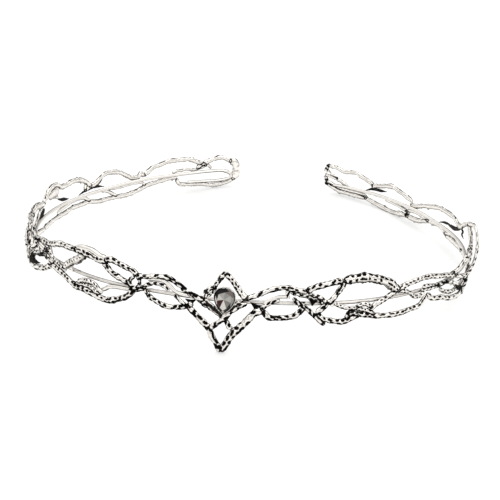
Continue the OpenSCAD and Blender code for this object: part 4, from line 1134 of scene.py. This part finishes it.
class CIRCLET_OT_stage(Operator):
    """Lay the pale floor, set the soft studio light and place the camera"""
    bl_idname = "circlet.stage"
    bl_label = "Set Stage"

    def execute(self, context):
        stage = context.scene.circlet.stage
        self.floor(context, stage)
        self.light(context)
        self.camera(context, stage)
        context.scene.view_settings.view_transform = "Standard"
        return {"FINISHED"}

    def floor(self, context, stage):
        mesh = bpy.data.meshes.new("floor")
        corners = ((-1, -1), (1, -1), (1, 1), (-1, 1))
        mesh.from_pydata([(x * FLOOR_REACH, y * FLOOR_REACH, 0) for x, y in corners], [], [(0, 1, 2, 3)])
        mesh.materials.append(opal_acrylic(stage.floor_colour))
        floor = bpy.data.objects.new("floor", mesh)
        context.scene.collection.objects.link(floor)

    def light(self, context):
        world = bpy.data.worlds.new("studio")
        context.scene.world = world
        world.use_nodes = True
        world.node_tree.nodes.clear()
        node = partial(add_node, world.node_tree)
        # Dark low down and white overhead, so that polished metal has dark and bright parts to mirror
        up = node("SeparateXYZ", {"Vector": node("TexCoord").outputs["Generated"]}).outputs["Z"]
        span = {"Value": up, "From Min": 0.1, "From Max": 0.5, "To Min": 0.4, "To Max": 1.15}
        glow = node("MapRange", span, interpolation_type="SMOOTHSTEP")
        sky = node("Background", {"Color": (1, 1, 1, 1), "Strength": glow})
        node("OutputWorld", {"Surface": sky})
        for name, place, size, power in SOFTBOXES:
            data = bpy.data.lights.new(name, "AREA")
            data.size = size
            data.energy = power
            lamp = bpy.data.objects.new(name, data)
            aim = (-Vector(place)).to_track_quat("-Z", "Y").to_matrix().to_4x4()
            lamp.matrix_world = Matrix.Translation(place) @ aim
            context.scene.collection.objects.link(lamp)

    def camera(self, context, stage):
        """The camera's place and turn in the band's own frame, laid down with the band."""
        az, el, roll = stage.azimuth, stage.elevation, stage.roll
        back = Vector((math.sin(az) * math.cos(el), -math.cos(az) * math.cos(el), math.sin(el)))
        right = Vector((math.cos(az), math.sin(az), 0))
        up = back.cross(right)
        right, up = (right * math.cos(roll) + up * math.sin(roll),
                     up * math.cos(roll) - right * math.sin(roll))
        turn = Matrix((right, up, back)).transposed().to_4x4()
        data = bpy.data.cameras.new("camera")
        data.lens = stage.lens
        data.sensor_width = SENSOR
        camera = bpy.data.objects.new("camera", data)
        place = Vector(CAMERA_AIM) * MM + back * stage.distance
        camera.matrix_world = STANCE @ Matrix.Translation(place) @ turn
        context.scene.collection.objects.link(camera)
        context.scene.camera = camera


OPERATORS = (CIRCLET_OT_twigs, CIRCLET_OT_spurs, CIRCLET_OT_wire, CIRCLET_OT_leaves, CIRCLET_OT_webs,
             CIRCLET_OT_setting, CIRCLET_OT_stone, CIRCLET_OT_stage)


class CIRCLET_PT_panel(Panel):
    """Sizes and colours of the circlet, and a button for each of its pieces"""
    bl_idname = "CIRCLET_PT_panel"
    bl_label = "Open Twig Circlet"
    bl_space_type = "VIEW_3D"
    bl_region_type = "UI"
    bl_category = "Circlet"

    def draw(self, context):
        for title in CircletSettings.__annotations__:
            group = getattr(context.scene.circlet, title)
            box = self.layout.box()
            box.label(text=title.capitalize())
            for key in group.__annotations__:
                box.prop(group, key)
        for operator in OPERATORS:
            self.layout.operator(operator.bl_idname)


CLASSES = (CircletSizes, PitSizes, StoneSizes, CircletColours, StageSettings, CircletSettings, *OPERATORS,
           CIRCLET_PT_panel)


def register():
    for cls in CLASSES:
        bpy.utils.register_class(cls)
    bpy.types.Scene.circlet = PointerProperty(type=CircletSettings)


def unregister():
    del bpy.types.Scene.circlet
    for cls in reversed(CLASSES):
        bpy.utils.unregister_class(cls)


def main():
    register()
    for operator in OPERATORS:
        getattr(bpy.ops.circlet, operator.bl_idname.split(".")[1])()


if __name__ == "__main__":
    main()
